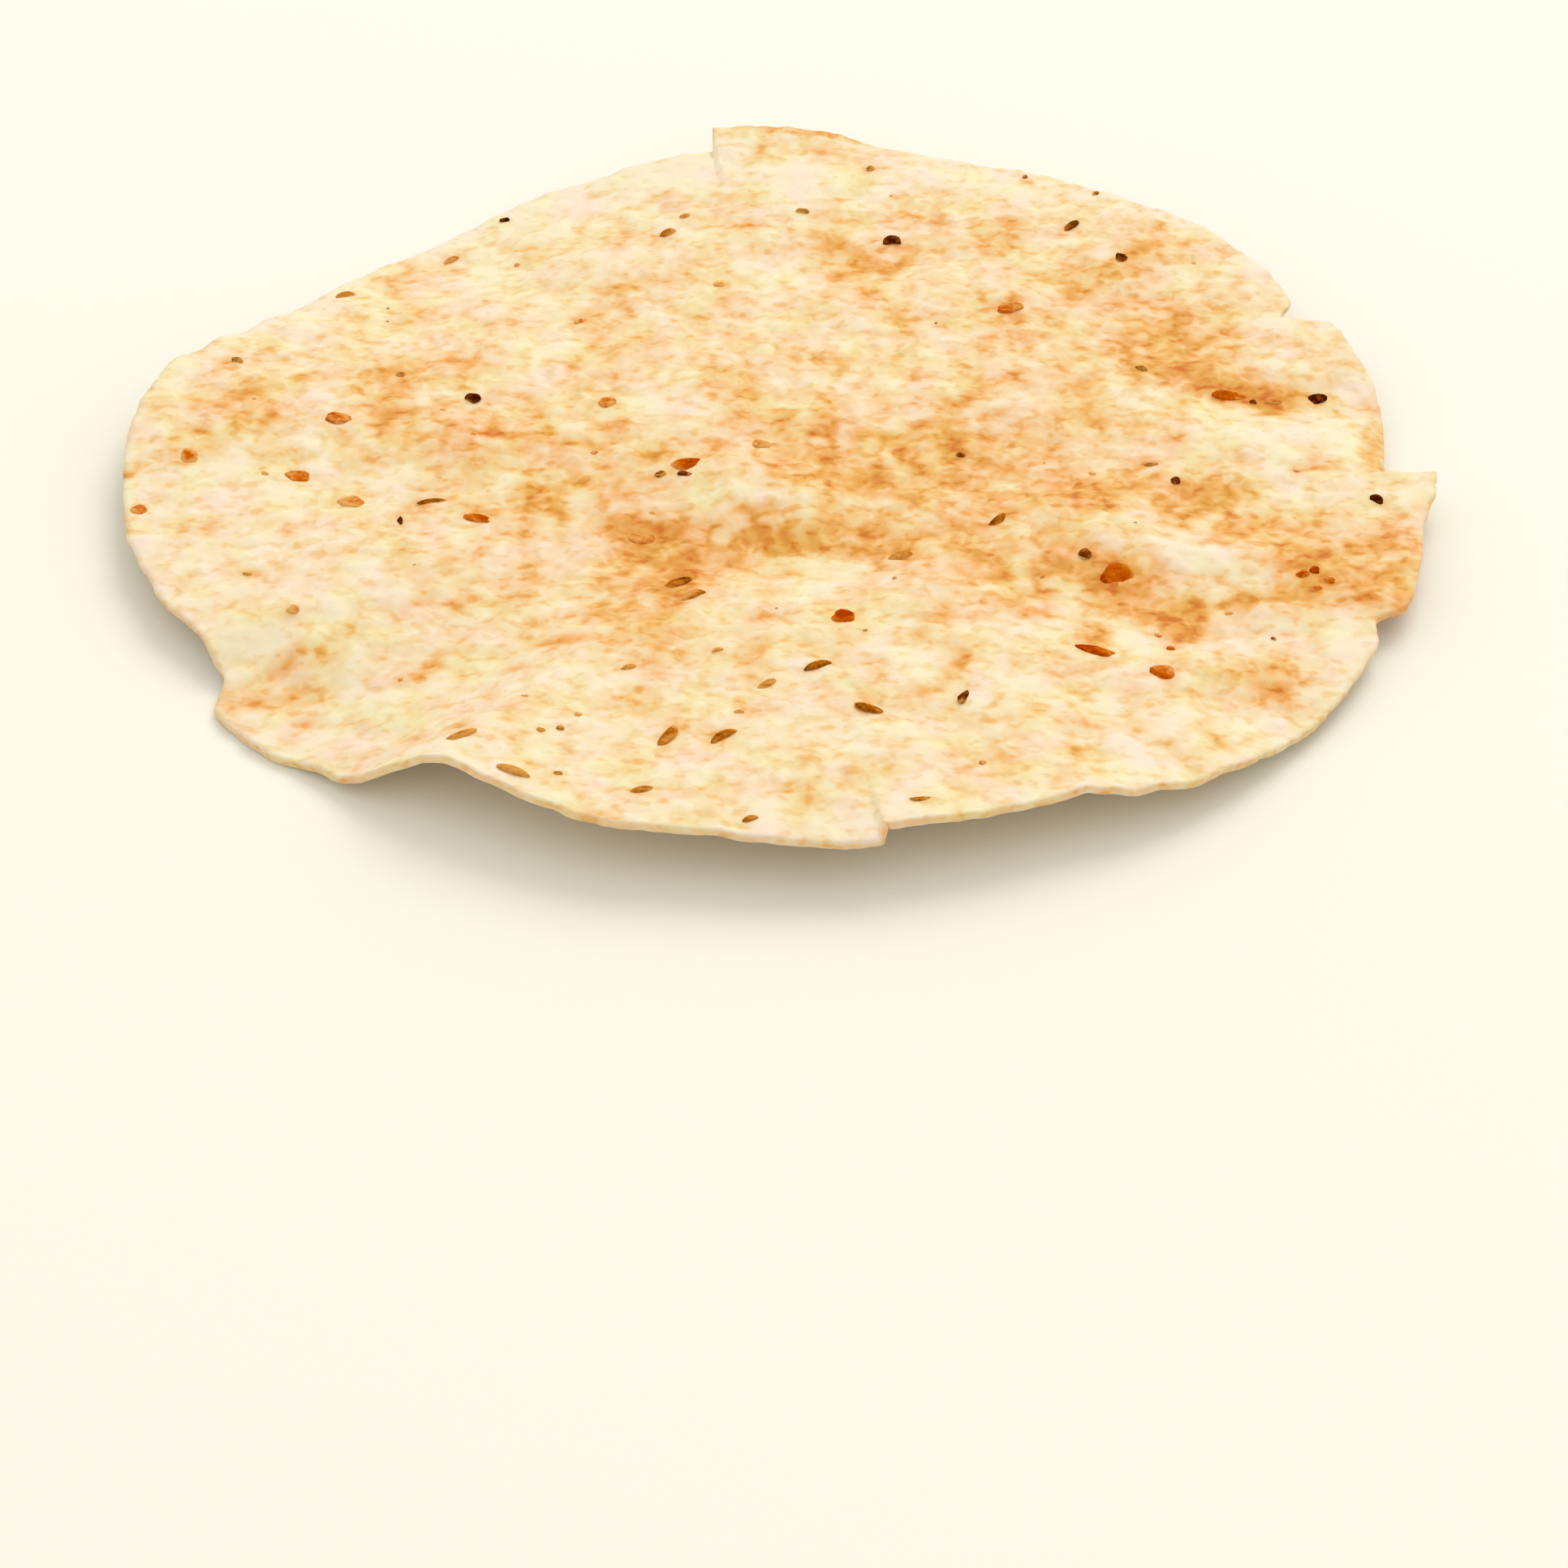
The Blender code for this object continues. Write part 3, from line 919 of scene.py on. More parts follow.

# Toasted places, some of which also stand for painted shade in the face's valleys and painted
# light on its hills, on the sheet as it stands in the end: the same columns, with a share of
# browning for the height, negative if paler.
TOASTED_AND_SHADED = (
    (-18.0, -19.1, 7.0, 6.0, -20.0, 0.38),
    (-13.0, -28.6, 6.5, 5.5, 20.0, 0.44),
    (2.0, -19.6, 11.0, 4.0, 8.0, 0.39),
    (-16.0, -44.6, 4.0, 12.0, 0.0, 0.21),
    (20.0, -3.6, 20.0, 12.0, 0.0, 0.21),
    (25.0, 3.4, 4.0, 6.0, 0.0, 0.17),
    (30.0, -24.6, 12.0, 9.0, 0.0, 0.22),
    (44.0, -10.6, 7.0, 6.0, 0.0, 0.33),
    (4.0, -7.6, 5.0, 8.0, 20.0, 0.18),
    (-9.0, 4.4, 14.0, 12.0, 0.0, 0.10),
    (37.0, 15.4, 10.0, 12.0, 0.0, 0.15),
    (33.0, 35.4, 9.0, 6.0, 0.0, 0.20),
    (-35.0, -1.6, 20.0, 9.0, -18.0, 0.17),
    (-33.0, -8.6, 5.0, 3.0, 0.0, 0.14),
    (-24.0, -34.6, 7.0, 9.0, 10.0, 0.19),
    (-42.0, -24.6, 4.0, 3.0, 0.0, 0.16),
    (-49.0, 13.4, 13.0, 9.0, 0.0, 0.13),
    (-79.0, 7.4, 10.0, 8.0, 0.0, 0.21),
    (-55.0, 21.4, 9.0, 4.0, 0.0, 0.18),
    (-57.0, 49.4, 3.5, 7.0, 0.0, 0.21),
    (-15.0, 37.4, 4.0, 11.0, 0.0, 0.14),
    (-9.0, 17.4, 10.0, 5.0, -45.0, 0.21),
    (9.0, 53.4, 7.0, 9.0, 0.0, 0.29),
    (33.0, 60.4, 8.0, 4.0, 0.0, 0.23),
    (49.0, 50.4, 11.0, 4.0, 20.0, 0.28),
    (56.0, 29.4, 9.0, 13.0, 15.0, 0.30),
    (64.0, 18.4, 8.0, 4.0, -25.0, 0.40),
    (60.0, -12.6, 8.0, 8.0, -40.0, 0.34),
    (45.0, -28.6, 7.0, 5.0, 0.0, 0.34),
    (51.0, -38.6, 8.0, 5.0, -30.0, 0.40),
    (63.0, -51.6, 7.0, 5.0, 0.0, 0.25),
    (71.0, -26.6, 10.0, 7.0, 0.0, 0.42),
    (84.0, -22.6, 4.0, 13.0, 0.0, 0.34),
    (-70.0, -50.6, 6.0, 5.0, -35.0, 0.20),
    (41.5, -42.6, 2.5, 5.0, 0.0, 0.34),
    (52.0, -42.6, 3.0, 3.0, 0.0, 0.21),
    (22.0, -57.6, 3.0, 5.0, 0.0, 0.18),
    (15.0, 78.4, 3.0, 3.0, 0.0, 0.16),
    (5.0, 82.4, 5.0, 2.0, -5.0, 0.29),
    (-12.0, 9.4, 6.0, 5.0, 0.0, -0.23),
    (-4.0, -11.6, 8.0, 4.0, 0.0, -0.29),
    (-27.0, -18.6, 4.0, 4.0, 0.0, -0.16),
    (8.0, -29.6, 8.0, 5.0, 0.0, -0.16),
    (71.0, 4.4, 12.0, 5.0, 0.0, -0.15),
    (72.0, -7.6, 7.0, 5.0, 0.0, -0.26),
    (57.0, -24.6, 7.0, 3.0, -10.0, -0.42),
    (35.0, -40.6, 5.0, 4.0, 0.0, -0.21),
    (46.5, -44.1, 3.0, 4.0, 0.0, -0.42),
    (65.0, -42.6, 6.0, 3.0, -20.0, -0.20),
    (4.0, 72.4, 6.0, 7.0, 0.0, -0.26),
    (-30.0, 74.4, 26.0, 7.0, 15.0, -0.20),
    (-12.0, 79.4, 9.0, 7.0, 0.0, -0.20),
    (-42.0, 52.4, 9.0, 6.0, 0.0, -0.20),
    (-1.0, 51.4, 3.0, 9.0, 0.0, -0.22),
    (-20.0, 12.4, 3.0, 5.0, 0.0, -0.20),
    (7.0, 25.4, 6.0, 6.0, 0.0, -0.14),
    (80.0, 9.4, 5.0, 4.0, 0.0, -0.16),
    (-79.0, -4.6, 6.0, 4.0, 0.0, -0.14),
    (-8.0, -34.6, 3.0, 4.0, 0.0, -0.14),
    (-74.0, 39.4, 14.0, 4.0, 45.0, -0.10),
    (32.0, 75.4, 22.0, 6.0, -15.0, -0.14),
    (-70.0, -7.6, 16.0, 5.0, 0.0, -0.18),
    (-68.0, -20.6, 9.0, 12.0, 0.0, -0.14),
    (-69.0, -41.6, 6.0, 5.0, 0.0, -0.23),
    (-54.0, -60.6, 14.0, 5.0, -8.0, -0.10),
    (-32.0, -73.6, 9.0, 6.0, -20.0, -0.14),
    (12.0, -77.6, 12.0, 5.0, 0.0, -0.06),
    (-6.0, -70.6, 12.0, 6.0, 0.0, -0.03),
    (14.0, 5.4, 50.0, 34.0, -15.0, 0.04),
    (40.0, -62.6, 24.0, 8.0, 0.0, -0.06),
    (80.0, -34.0, 7.0, 8.0, 0.0, 0.16),
    (12.0, 83.0, 14.0, 4.0, 0.0, 0.12),
    (22.0, 50.0, 7.0, 6.0, 0.0, 0.09),
    (7.0, 38.0, 6.0, 6.0, 0.0, 0.08),
    (66.0, 46.0, 6.0, 8.0, 0.0, 0.06),
    (24.0, -38.0, 8.0, 6.0, 0.0, 0.09),
    (38.0, -54.0, 18.0, 5.0, 0.0, 0.06),
    (73.9, -7.1, 2.6, 2.2, 0.0, 0.32),
    (64.3, -47.3, 2.8, 2.0, 0.0, 0.20),
    (33.5, -34.5, 2.4, 2.0, 0.0, 0.20),
    (30.7, -64.1, 2.6, 2.4, 0.0, 0.16),
    (61.8, -16.7, 6.0, 2.2, -10.0, 0.16),
    (66.0, 16.2, 7.0, 1.6, -8.0, 0.25),
    (57.0, -24.2, 5.0, 1.8, -15.0, -0.20),
    (47.6, -44.3, 3.5, 2.0, -20.0, -0.20),
    (63.0, -29.0, 3.0, 1.8, -40.0, -0.22),
)

# Browned places of the rim: angle, how far round to either side (degrees), how far in (mm) and the
# share of browning.
LIPS = (
    (5.1, 5.6, 3.8, 0.50),
    (89.0, 7.0, 1.3, 0.50),
)

# The colour that each kind of spice bakes into the dough round it: the rows of its bits, how far
# past their edges it reaches (mm), and the share of browning.
HALOS = (
    (PEPPER_BITS, 0.5, 0.16),
    (CUMIN_SEEDS, 0.5, 0.18),
    (HUSK_FLAKES, 0.8, 0.20),
)


# Mottling of the face: spacing of its spots (mm), share of browning, and seed.
MOTTLING = ((10.0, 0.16, 41), (5.2, 0.18, 42), (2.6, 0.11, 43))

# Small bubbles of the face: size of a bubble's cell and height, and seed.
SMALL_BUBBLES = ((5.4, 0.34, 33), (2.9, 0.20, 34))

# Ragged edge of the rim: spacing and depth, and seed.
RAGGED = ((3.4, 0.22, 36), (1.4, 0.12, 37))


@dataclass(frozen=True)
class ToastingAndShade:
    """How the heat browned the dough, together with the shade and light that are painted into
    the same browning: in the relief's hollows, at the feet of bubbles, in some toasted places
    and on the rim's wall. Browning runs from 0, palest, to 1, scorched, and each cause adds
    its share."""

    doneness: float = 0.255
    stray: float = 1.8 * MM
    stray_spacing: float = 6.0 * MM
    stray_seeds: tuple[int, int] = (44, 45)
    spot_least: float = 0.7
    spot_gain: float = 2.5
    pale_rim: float = 0.12
    pale_rim_width: float = 5.0 * MM
    edge: float = 0.035
    edge_level: float = 0.17
    edge_softness: float = 0.06
    # Painted shade: how much browner the relief's hollows and the feet of its bubbles are.
    hollow_shade: float = 0.05
    small_hollow_shade: float = 0.25
    foot_shade: float = 0.09
    foot_level: float = 0.14
    foot_width: float = 0.09
    halo_limit: float = 8.0 * MM
    lip_softness: float = 0.2
    torn: float = 0.2
    torn_width: float = 0.8
    torn_power: int = 30
    deep_level: float = 0.6
    deep_range: float = 0.25
    wall_least: float = 0.25
    wall_browning_and_glow: float = 0.1

    def patches(self, x: Array, y: Array, inward: Array) -> Array:
        """The toasted places, which are partly painted shade in the valleys and painted light on the
        hills of the face, read a little astray so that their edges are uneven, plus the mottling,
        less a pale rim. The mottling is multiplied by a gain times its own size, so that its
        strong spots count for more, and a smooth step sharpens the sum.

        Args:
            x: Places along x, in metres, on the sheet as it stands in the end.
            y: Places along y, likewise.
            inward: The way in from the rim, in metres.

        Returns:
            The share of browning at each place.
        """
        shift_x, shift_y = (rolling(x, y, self.stray_spacing, seed) for seed in self.stray_seeds)
        # Toasted places, partly painted shade and painted light of the face's valleys and hills.
        toasted_and_shaded = mounds(x + self.stray * shift_x, y + self.stray * shift_y, TOASTED_AND_SHADED)
        mottling = sum(share * rolling(x, y, spacing * MM, seed) for spacing, share, seed in MOTTLING)
        mottling *= self.spot_least + self.spot_gain * np.abs(mottling)
        toasted_and_shaded = toasted_and_shaded + mottling - self.pale_rim * np.exp(-((inward / self.pale_rim_width) ** 2))
        return toasted_and_shaded + self.edge * np.tanh((toasted_and_shaded - self.edge_level) / self.edge_softness)

    def painted_hollow_shade(self, x: Array, y: Array, relief: Array, small: Array) -> Array:
        """Painted shade: the hollows of the relief are browner than its crests, and a browner ring
        of painted shade lies at the foot of each of the larger small bubbles.

        Args:
            x: Places along x, in metres, in the frame of the sheet's tables.
            y: Places along y, likewise.
            relief: The height of the whole relief, in metres.
            small: The height of its bubbles and wrinkles alone, in metres.

        Returns:
            The share of browning, all of it painted shade, at each place.
        """
        size, _, seed = SMALL_BUBBLES[0]
        past_foot = (bubbles(x, y, size * MM, seed) - self.foot_level) / self.foot_width
        painted_hollow_shade = -self.hollow_shade * relief / MM - self.small_hollow_shade * small / MM
        return painted_hollow_shade + self.foot_shade * np.exp(-(past_foot**2))

    def halos(self, x: Array, y: Array) -> Array:
        """The colour that the spice bakes into the dough: a smooth oval round each bit.

        Args:
            x: Places along x, in metres, on the sheet as it stands in the end.
            y: Places along y, likewise.

        Returns:
            The share of browning at each place.
        """
        total = np.zeros_like(x)
        for rows, margin, browning in HALOS:
            for middle_x, middle_y, length, width, turn, _ in rows:
                near = np.hypot(x - middle_x * MM, y - middle_y * MM) < self.halo_limit
                reach = 0.5 * length + margin, 0.5 * width + margin
                spot = (middle_x, middle_y, *reach, turn, browning)
                total[near] += mounds(x[near], y[near], (spot,))
        return total

    def rim(self, ring: Array, angle: Array, inward: Array) -> Array:
        """The browned lips and tears. A lip is a smooth step down where the squared turn over its
        run plus the squared way in over its depth passes one. A tear's browning falls off with
        the square of the turn from it, and inwards with a power of the way out.

        Args:
            ring: The share of the way out to the rim.
            angle: The angle, in radians.
            inward: The way in from the rim, in metres.

        Returns:
            The share of browning at each place.
        """
        degrees = np.degrees(angle)
        lips, torn = np.zeros_like(angle), np.zeros_like(angle)
        for middle, run, depth, browning in LIPS:
            past = ((degrees - middle + 180.0) % 360.0 - 180.0) / run
            within = 1.0 - np.minimum(past**2 + (inward / (depth * MM)) ** 2, 9.0)
            lips += browning / (1.0 + np.exp(-within / self.lip_softness))
        for tear, *_ in TORN_SIDES:
            past = ((degrees - tear + 180.0) % 360.0 - 180.0) / self.torn_width
            torn = np.maximum(torn, np.exp(-(past**2)) * ring**self.torn_power)
        return lips + self.torn * torn

    def ease(self, browned: Array) -> Array:
        """Past the deep level, the browning eases off to that level plus its range."""
        deep = np.maximum(browned - self.deep_level, 0.0)
        return browned - deep + self.deep_range * np.tanh(deep / self.deep_range)

    def wall(self, browned: Array) -> Array:
        """The rim's wall is a little browner than the face beside it, and never pale: partly a
        browned edge, partly painted glow of light shining through the thin sheet.
        """
        return np.maximum(browned, self.wall_least) + self.wall_browning_and_glow


@dataclass
class Sheet:
    """The crisp sheet, as a closed thin solid: an upper face, an underside and a rim between."""

    body_radius: float = 88.0 * MM
    thickness: float = 1.1 * MM
    steps: int = 272
    under_steps: int = 136
    wall_depths: tuple[float, float] = (0.25, 0.75)
    wall_bulge: float = 0.10
    rim_reach_power: int = 6
    rim_lift_power: int = 3
    torn_reach_power: int = 20
    torn_lift_power: int = 16
    torn_edge: float = 0.05
    ragged_power: int = 60
    rest_depth: float = 4.3 * MM
    rest_softness: float = 0.25 * MM
    blister_count: int = 90
    blister_radius: tuple[float, float] = (3.5 * MM, 7.0 * MM)
    blister_height: tuple[float, float] = (0.2 * MM, 0.55 * MM)
    blister_seed: int = 5
    wrinkle_spacing: float = 4.4 * MM
    wrinkle_height: float = 0.07
    wrinkle_stretch: float = 1.9
    wrinkle_seed: int = 32
    warp: float = 2.0 * MM
    warp_spacing: float = 11.0 * MM
    warp_seed: int = 31
    grain_spacing: float = 1.7 * MM
    grain_height: float = 0.05
    grain_stretch: float = 1.5
    grain_seed: int = 35
    small_relief_level: float = 0.12
    finish: CrispDough = CrispDough()
    toasting_and_shade: ToastingAndShade = ToastingAndShade()
    move: Array = field(init=False)
    upper: Array = field(init=False)
    upper_normals: Array = field(init=False)

    def polar(self, steps: int) -> tuple[Array, Array]:
        """Bends a square grid to a disc: nested squares become nested rings.

        Args:
            steps: How many cells the grid has along a side.

        Returns:
            The share of the way out to the rim, and the angle, of each grid point.
        """
        side = np.linspace(-1.0, 1.0, steps + 1)
        up, across = (part.ravel() for part in np.meshgrid(side, side, indexing="ij"))
        ring = np.maximum(np.abs(across), np.abs(up))
        flat = np.abs(across) >= np.abs(up)
        safe_across = np.where(across == 0, 1.0, across)
        safe_up = np.where(up == 0, 1.0, up)
        angle = np.where(
            flat,
            math.pi / 4 * up / safe_across + np.where(across < 0, math.pi, 0.0),
            math.pi / 2 - math.pi / 4 * across / safe_up + np.where(up < 0, math.pi, 0.0),
        )
        return ring, angle

    def rim_at(self, angle: Array) -> tuple[Array, Array]:
        """Reach and lift of the rim: level at each row of RIM and eased between rows.

        Args:
            angle: Angles, in radians.

        Returns:
            The reach and the lift at each angle, in metres.
        """
        rows = np.array(RIM) * (1.0, MM, MM)
        turn = (360.0, 0.0, 0.0)
        rows = np.vstack([rows[-1] - turn, rows, rows[0] + turn])
        degrees = np.degrees(angle) % 360.0
        before = np.searchsorted(rows[:, 0], degrees, side="right") - 1
        start, end = rows[before], rows[before + 1]
        share = (degrees - start[:, 0]) / (end[:, 0] - start[:, 0])
        share = (share * share * (3.0 - 2.0 * share))[:, None]
        found = start + (end - start) * share
        return found[:, 1], found[:, 2]

    def torn_at(self, angle: Array) -> tuple[Array, Array]:
        """Reach and lift that the torn sides add: whole beside the tear, fading to nothing round
        it, with a step as wide as the torn edge at the tear itself.

        Args:
            angle: Angles, in radians.

        Returns:
            The reach and the lift to add at each angle, in metres.
        """
        reach, lift = np.zeros_like(angle), np.zeros_like(angle)
        for tear, run, side_reach, side_lift in TORN_SIDES:
            past = ((np.degrees(angle) - tear) * math.copysign(1.0, run)) % 360.0
            share = np.exp(-((past / abs(run)) ** 2)) * np.clip(past / self.torn_edge, 0.0, 1.0)
            reach += side_reach * MM * share
            lift += side_lift * MM * share
        return reach, lift

    def blisters(self, x: Array, y: Array) -> Array:
        """The low round blisters, spread evenly over the disc: each is its height times e to the
        minus squared distance over squared radius.

        Args:
            x: Places along x, in metres.
            y: Places along y, in metres.

        Returns:
            The height at each place, in metres.
        """
        draw = random.Random(self.blister_seed)
        total = np.zeros_like(x)
        for _ in range(self.blister_count):
            distance = self.body_radius * math.sqrt(draw.random())
            bearing = draw.uniform(0.0, 2.0 * math.pi)
            away_x = x - distance * math.cos(bearing)
            away_y = y - distance * math.sin(bearing)
            radius = draw.uniform(*self.blister_radius)
            height = draw.uniform(*self.blister_height)
            total += height * np.exp(-(away_x**2 + away_y**2) / radius**2)
        return total

    def small_relief(self, x: Array, y: Array) -> Array:
        """Small bubbles, wrinkles that run mostly along x and wander, and a fine grain. A wrinkle
        is one minus twice the size of rolling noise, which gives it a sharp crest.

        Args:
            x: Places along x, in metres.
            y: Places along y, in metres.

        Returns:
            The height at each place, in metres.
        """
        warp = self.warp * rolling(x, y, self.warp_spacing, self.warp_seed)
        stretched = self.wrinkle_stretch * (y + warp)
        ridges = np.abs(rolling(x + warp, stretched, self.wrinkle_spacing, self.wrinkle_seed))
        grain = rolling(x, self.grain_stretch * y, self.grain_spacing, self.grain_seed)
        height = sum(high * bubbles(x, y, size * MM, seed) for size, high, seed in SMALL_BUBBLES)
        height += self.wrinkle_height * (1 - 2 * ridges) + self.grain_height * grain
        return MM * (height - self.small_relief_level)

    def face(self, ring: Array, angle: Array) -> tuple[Array, Array]:
        """The upper face, in the frame of its own tables: what the rim does fades towards the
        middle with a power of the way out, the relief is added, and what would hang below the
        depth that it rests at is levelled by a smooth maximum, but for the small relief.

        Args:
            ring: The share of the way out to the rim.
            angle: The angle, in radians.

        Returns:
            The points, and the height of the relief alone at each.
        """
        reach, lift = self.rim_at(angle)
        torn_reach, torn_lift = self.torn_at(angle)
        around = self.body_radius * angle
        ragged = sum(
            depth * MM * rolling(around, 0 * angle, spacing * MM, seed)
            for spacing, depth, seed in RAGGED
        )
        distance = (
            self.body_radius * ring
            + (reach - self.body_radius) * ring**self.rim_reach_power
            + torn_reach * ring**self.torn_reach_power
            + ragged * ring**self.ragged_power
        )
        x, y = distance * np.cos(angle), distance * np.sin(angle)
        relief = mounds(x, y, SWELLS) * MM + self.blisters(x, y)
        height = lift * ring**self.rim_lift_power + torn_lift * ring**self.torn_lift_power
        above = (height + relief + self.rest_depth) / self.rest_softness
        height = self.rest_softness * np.logaddexp(0.0, above) - self.rest_depth
        small = self.small_relief(x, y)
        return np.stack([x, y, height + small], axis=1), relief + small

    def normals(self, points: Array, steps: int) -> Array:
        """The face's upward normal at each grid point: the sum of the cross products of the edges
        of the triangles that meet there, brought to length one.

        Args:
            points: The grid's points, row by row.
            steps: How many cells the grid has along a side.

        Returns:
            One unit normal for each point.
        """
        triangles = grid_triangles(steps + 1, steps + 1)
        first, second, third = (points[triangles[:, corner]] for corner in range(3))
        facing = np.cross(second - first, third - first)
        normal = np.zeros_like(points)
        for axis in range(3):
            for corner in range(3):
                normal[:, axis] += np.bincount(triangles[:, corner], facing[:, axis], len(points))
        return normal / np.linalg.norm(normal, axis=1, keepdims=True)

    def rim_loop(self, steps: int) -> Array:
        """The outer vertices of a grid, anticlockwise from its first corner.

        Args:
            steps: How many cells the grid has along a side.

        Returns:
            The vertices' numbers.
        """
        side = steps + 1
        bottom = np.arange(steps)
        right = steps + side * np.arange(steps)
        top = side * side - 1 - np.arange(steps)
        left = side * steps - side * np.arange(steps)
        return np.concatenate([bottom, right, top, left])

    def toast(self, points: Array, relief: Array, ring: Array, angle: Array) -> Array:
        """How browned the face is, with painted shade in its hollows: the sum of what the toasting
        gives, eased where it is deep.

        Args:
            points: The face's points, in the frame of its own tables.
            relief: The height of the relief alone at each point.
            ring: The share of the way out to the rim.
            angle: The angle, in radians.

        Returns:
            The browning at each point, from 0, palest, to 1, scorched.
        """
        x, y = points[:, 0], points[:, 1]
        inward = self.rim_at(angle)[0] + self.torn_at(angle)[0] - np.hypot(x, y)
        browned = self.toasting_and_shade.doneness + self.toasting_and_shade.rim(ring, angle, inward)
        # Painted shade in the relief's hollows and at the feet of its bubbles.
        browned += self.toasting_and_shade.painted_hollow_shade(x, y, relief, self.small_relief(x, y))
        x, y = x + self.move[0], y + self.move[1]
        browned += self.toasting_and_shade.patches(x, y, inward) + self.toasting_and_shade.halos(x, y)
        return self.toasting_and_shade.ease(browned)

    def walls(self, outer: Array, angle: Array) -> list[Array]:
        """The two loops of the rim's wall: each point is the face's, sunk by a share of the
        thickness along the normal there, and out by the bulge.

        Args:
            outer: The numbers of the upper face's outer vertices.
            angle: The angle of each of the face's points, in radians.

        Returns:
            The points of each loop, the upper loop first.
        """
        outward = np.stack([np.cos(angle[outer]), np.sin(angle[outer]), 0 * outer], axis=1)
        return [
            self.upper[outer]
            - self.upper_normals[outer] * self.thickness * depth
            + outward * self.thickness * self.wall_bulge
            for depth in self.wall_depths
        ]

    def triangles(self, outer: Array) -> Array:
        """The faces of the closed sheet: both grids, two bands of pairs of triangles down the
        wall, and a last band that joins every second vertex of the wall to the coarser underside.

        Args:
            outer: The numbers of the upper face's outer vertices.

        Returns:
            Rows of three vertex numbers: the upper face's come first, then the two loops of the
            wall and the underside's.
        """
        around = np.arange(len(outer))
        after = np.roll(around, -1)
        upper_loop = (self.steps + 1) ** 2 + around
        lower_loop = upper_loop + len(outer)
        first_under = lower_loop[-1] + 1
        bands = []
        for above, below in ((outer, upper_loop), (upper_loop, lower_loop)):
            bands.append(np.stack([above, below, below[after]], axis=1))
            bands.append(np.stack([above, below[after], above[after]], axis=1))
        start = first_under + self.rim_loop(self.under_steps)
        end = np.roll(start, -1)
        fine_start, fine_middle = lower_loop[::2], lower_loop[1::2]
        fine_end = np.roll(fine_start, -1)
        bands.append(np.stack([fine_start, start, fine_middle], axis=1))
        bands.append(np.stack([start, end, fine_middle], axis=1))
        bands.append(np.stack([fine_middle, end, fine_end], axis=1))
        top = grid_triangles(self.steps + 1, self.steps + 1)
        bottom = grid_triangles(self.under_steps + 1, self.under_steps + 1)[:, ::-1] + first_under
        return np.vstack([top, *bands, bottom])

    def build(self) -> bpy.types.Object:
        """Makes the closed sheet. The underside follows the upper face, one thickness below it
        along its normal, on a grid of twice the cell size, and the rim wall bulges between them.

        Returns:
            The mesh object, in the frame's place.
        """
        ring, angle = self.polar(self.steps)
        shaped, relief = self.face(ring, angle)
        under_ring, under_angle = self.polar(self.under_steps)
        under_shaped, under_relief = self.face(under_ring, under_angle)
        under = under_shaped - self.thickness * self.normals(under_shaped, self.under_steps)
        self.move = self.shift(shaped, under)
        self.upper, self.upper_normals = shaped + self.move, self.normals(shaped, self.steps)
        outer = self.rim_loop(self.steps)
        points = np.vstack([self.upper, *self.walls(outer, angle), under + self.move])
        piece = mesh_object("crisp_sheet", points, self.triangles(outer))
        browned = self.toast(shaped, relief, ring, angle)
        # The wall's colour: a browned edge with painted glow of light through the thin sheet.
        wall = self.toasting_and_shade.wall(browned[outer])
        # The underside gets the same browning and painted shade, with its relief turned over.
        under_browned = self.toast(under_shaped, -under_relief, under_ring, under_angle)
        set_attribute(piece, "toast", np.concatenate([browned, wall, wall, under_browned]))
        return piece

    def shift(self, upper: Array, under: Array) -> Array:
        """The move from the tables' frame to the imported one: the boxes' middles meet in plan, and
        the lowest point of the underside stands on the ground.

        Args:
            upper: The upper face's points, in the tables' frame.
            under: The underside's points, in the same frame.

        Returns:
            The move along x, y and z, in metres.
        """
        low, high = (np.array(corner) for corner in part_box(NODE))
        middle = (upper.min(axis=0) + upper.max(axis=0)) / 2
        move = (low + high) / 2 - middle
        move[2] = low[2] - under[:, 2].min()
        return move

    def surface_at(self, x: Array, y: Array) -> tuple[Array, Array]:
        """The built upper face under some places.

        Args:
            x: Places along x, in metres.
            y: Places along y, in metres.

        Returns:
            The nearest grid point of the face to each place, with x and y as given, and the
            normal there.
        """
        away_x = self.upper[None, :, 0] - x[:, None]
        away_y = self.upper[None, :, 1] - y[:, None]
        nearest = np.argmin(away_x**2 + away_y**2, axis=1)
        return np.stack([x, y, self.upper[nearest, 2]], axis=1), self.upper_normals[nearest]

    def dress(self, piece: bpy.types.Object) -> None:
        """Gives the sheet its finish, and has it stand for the plain one.

        Args:
            piece: The sheet.
        """
        piece.data.materials.append(self.finish.make())
        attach(piece, BODY)
        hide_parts(NODE)


# ---------------------------------------------------------------------------------------------
# Studio
# ---------------------------------------------------------------------------------------------


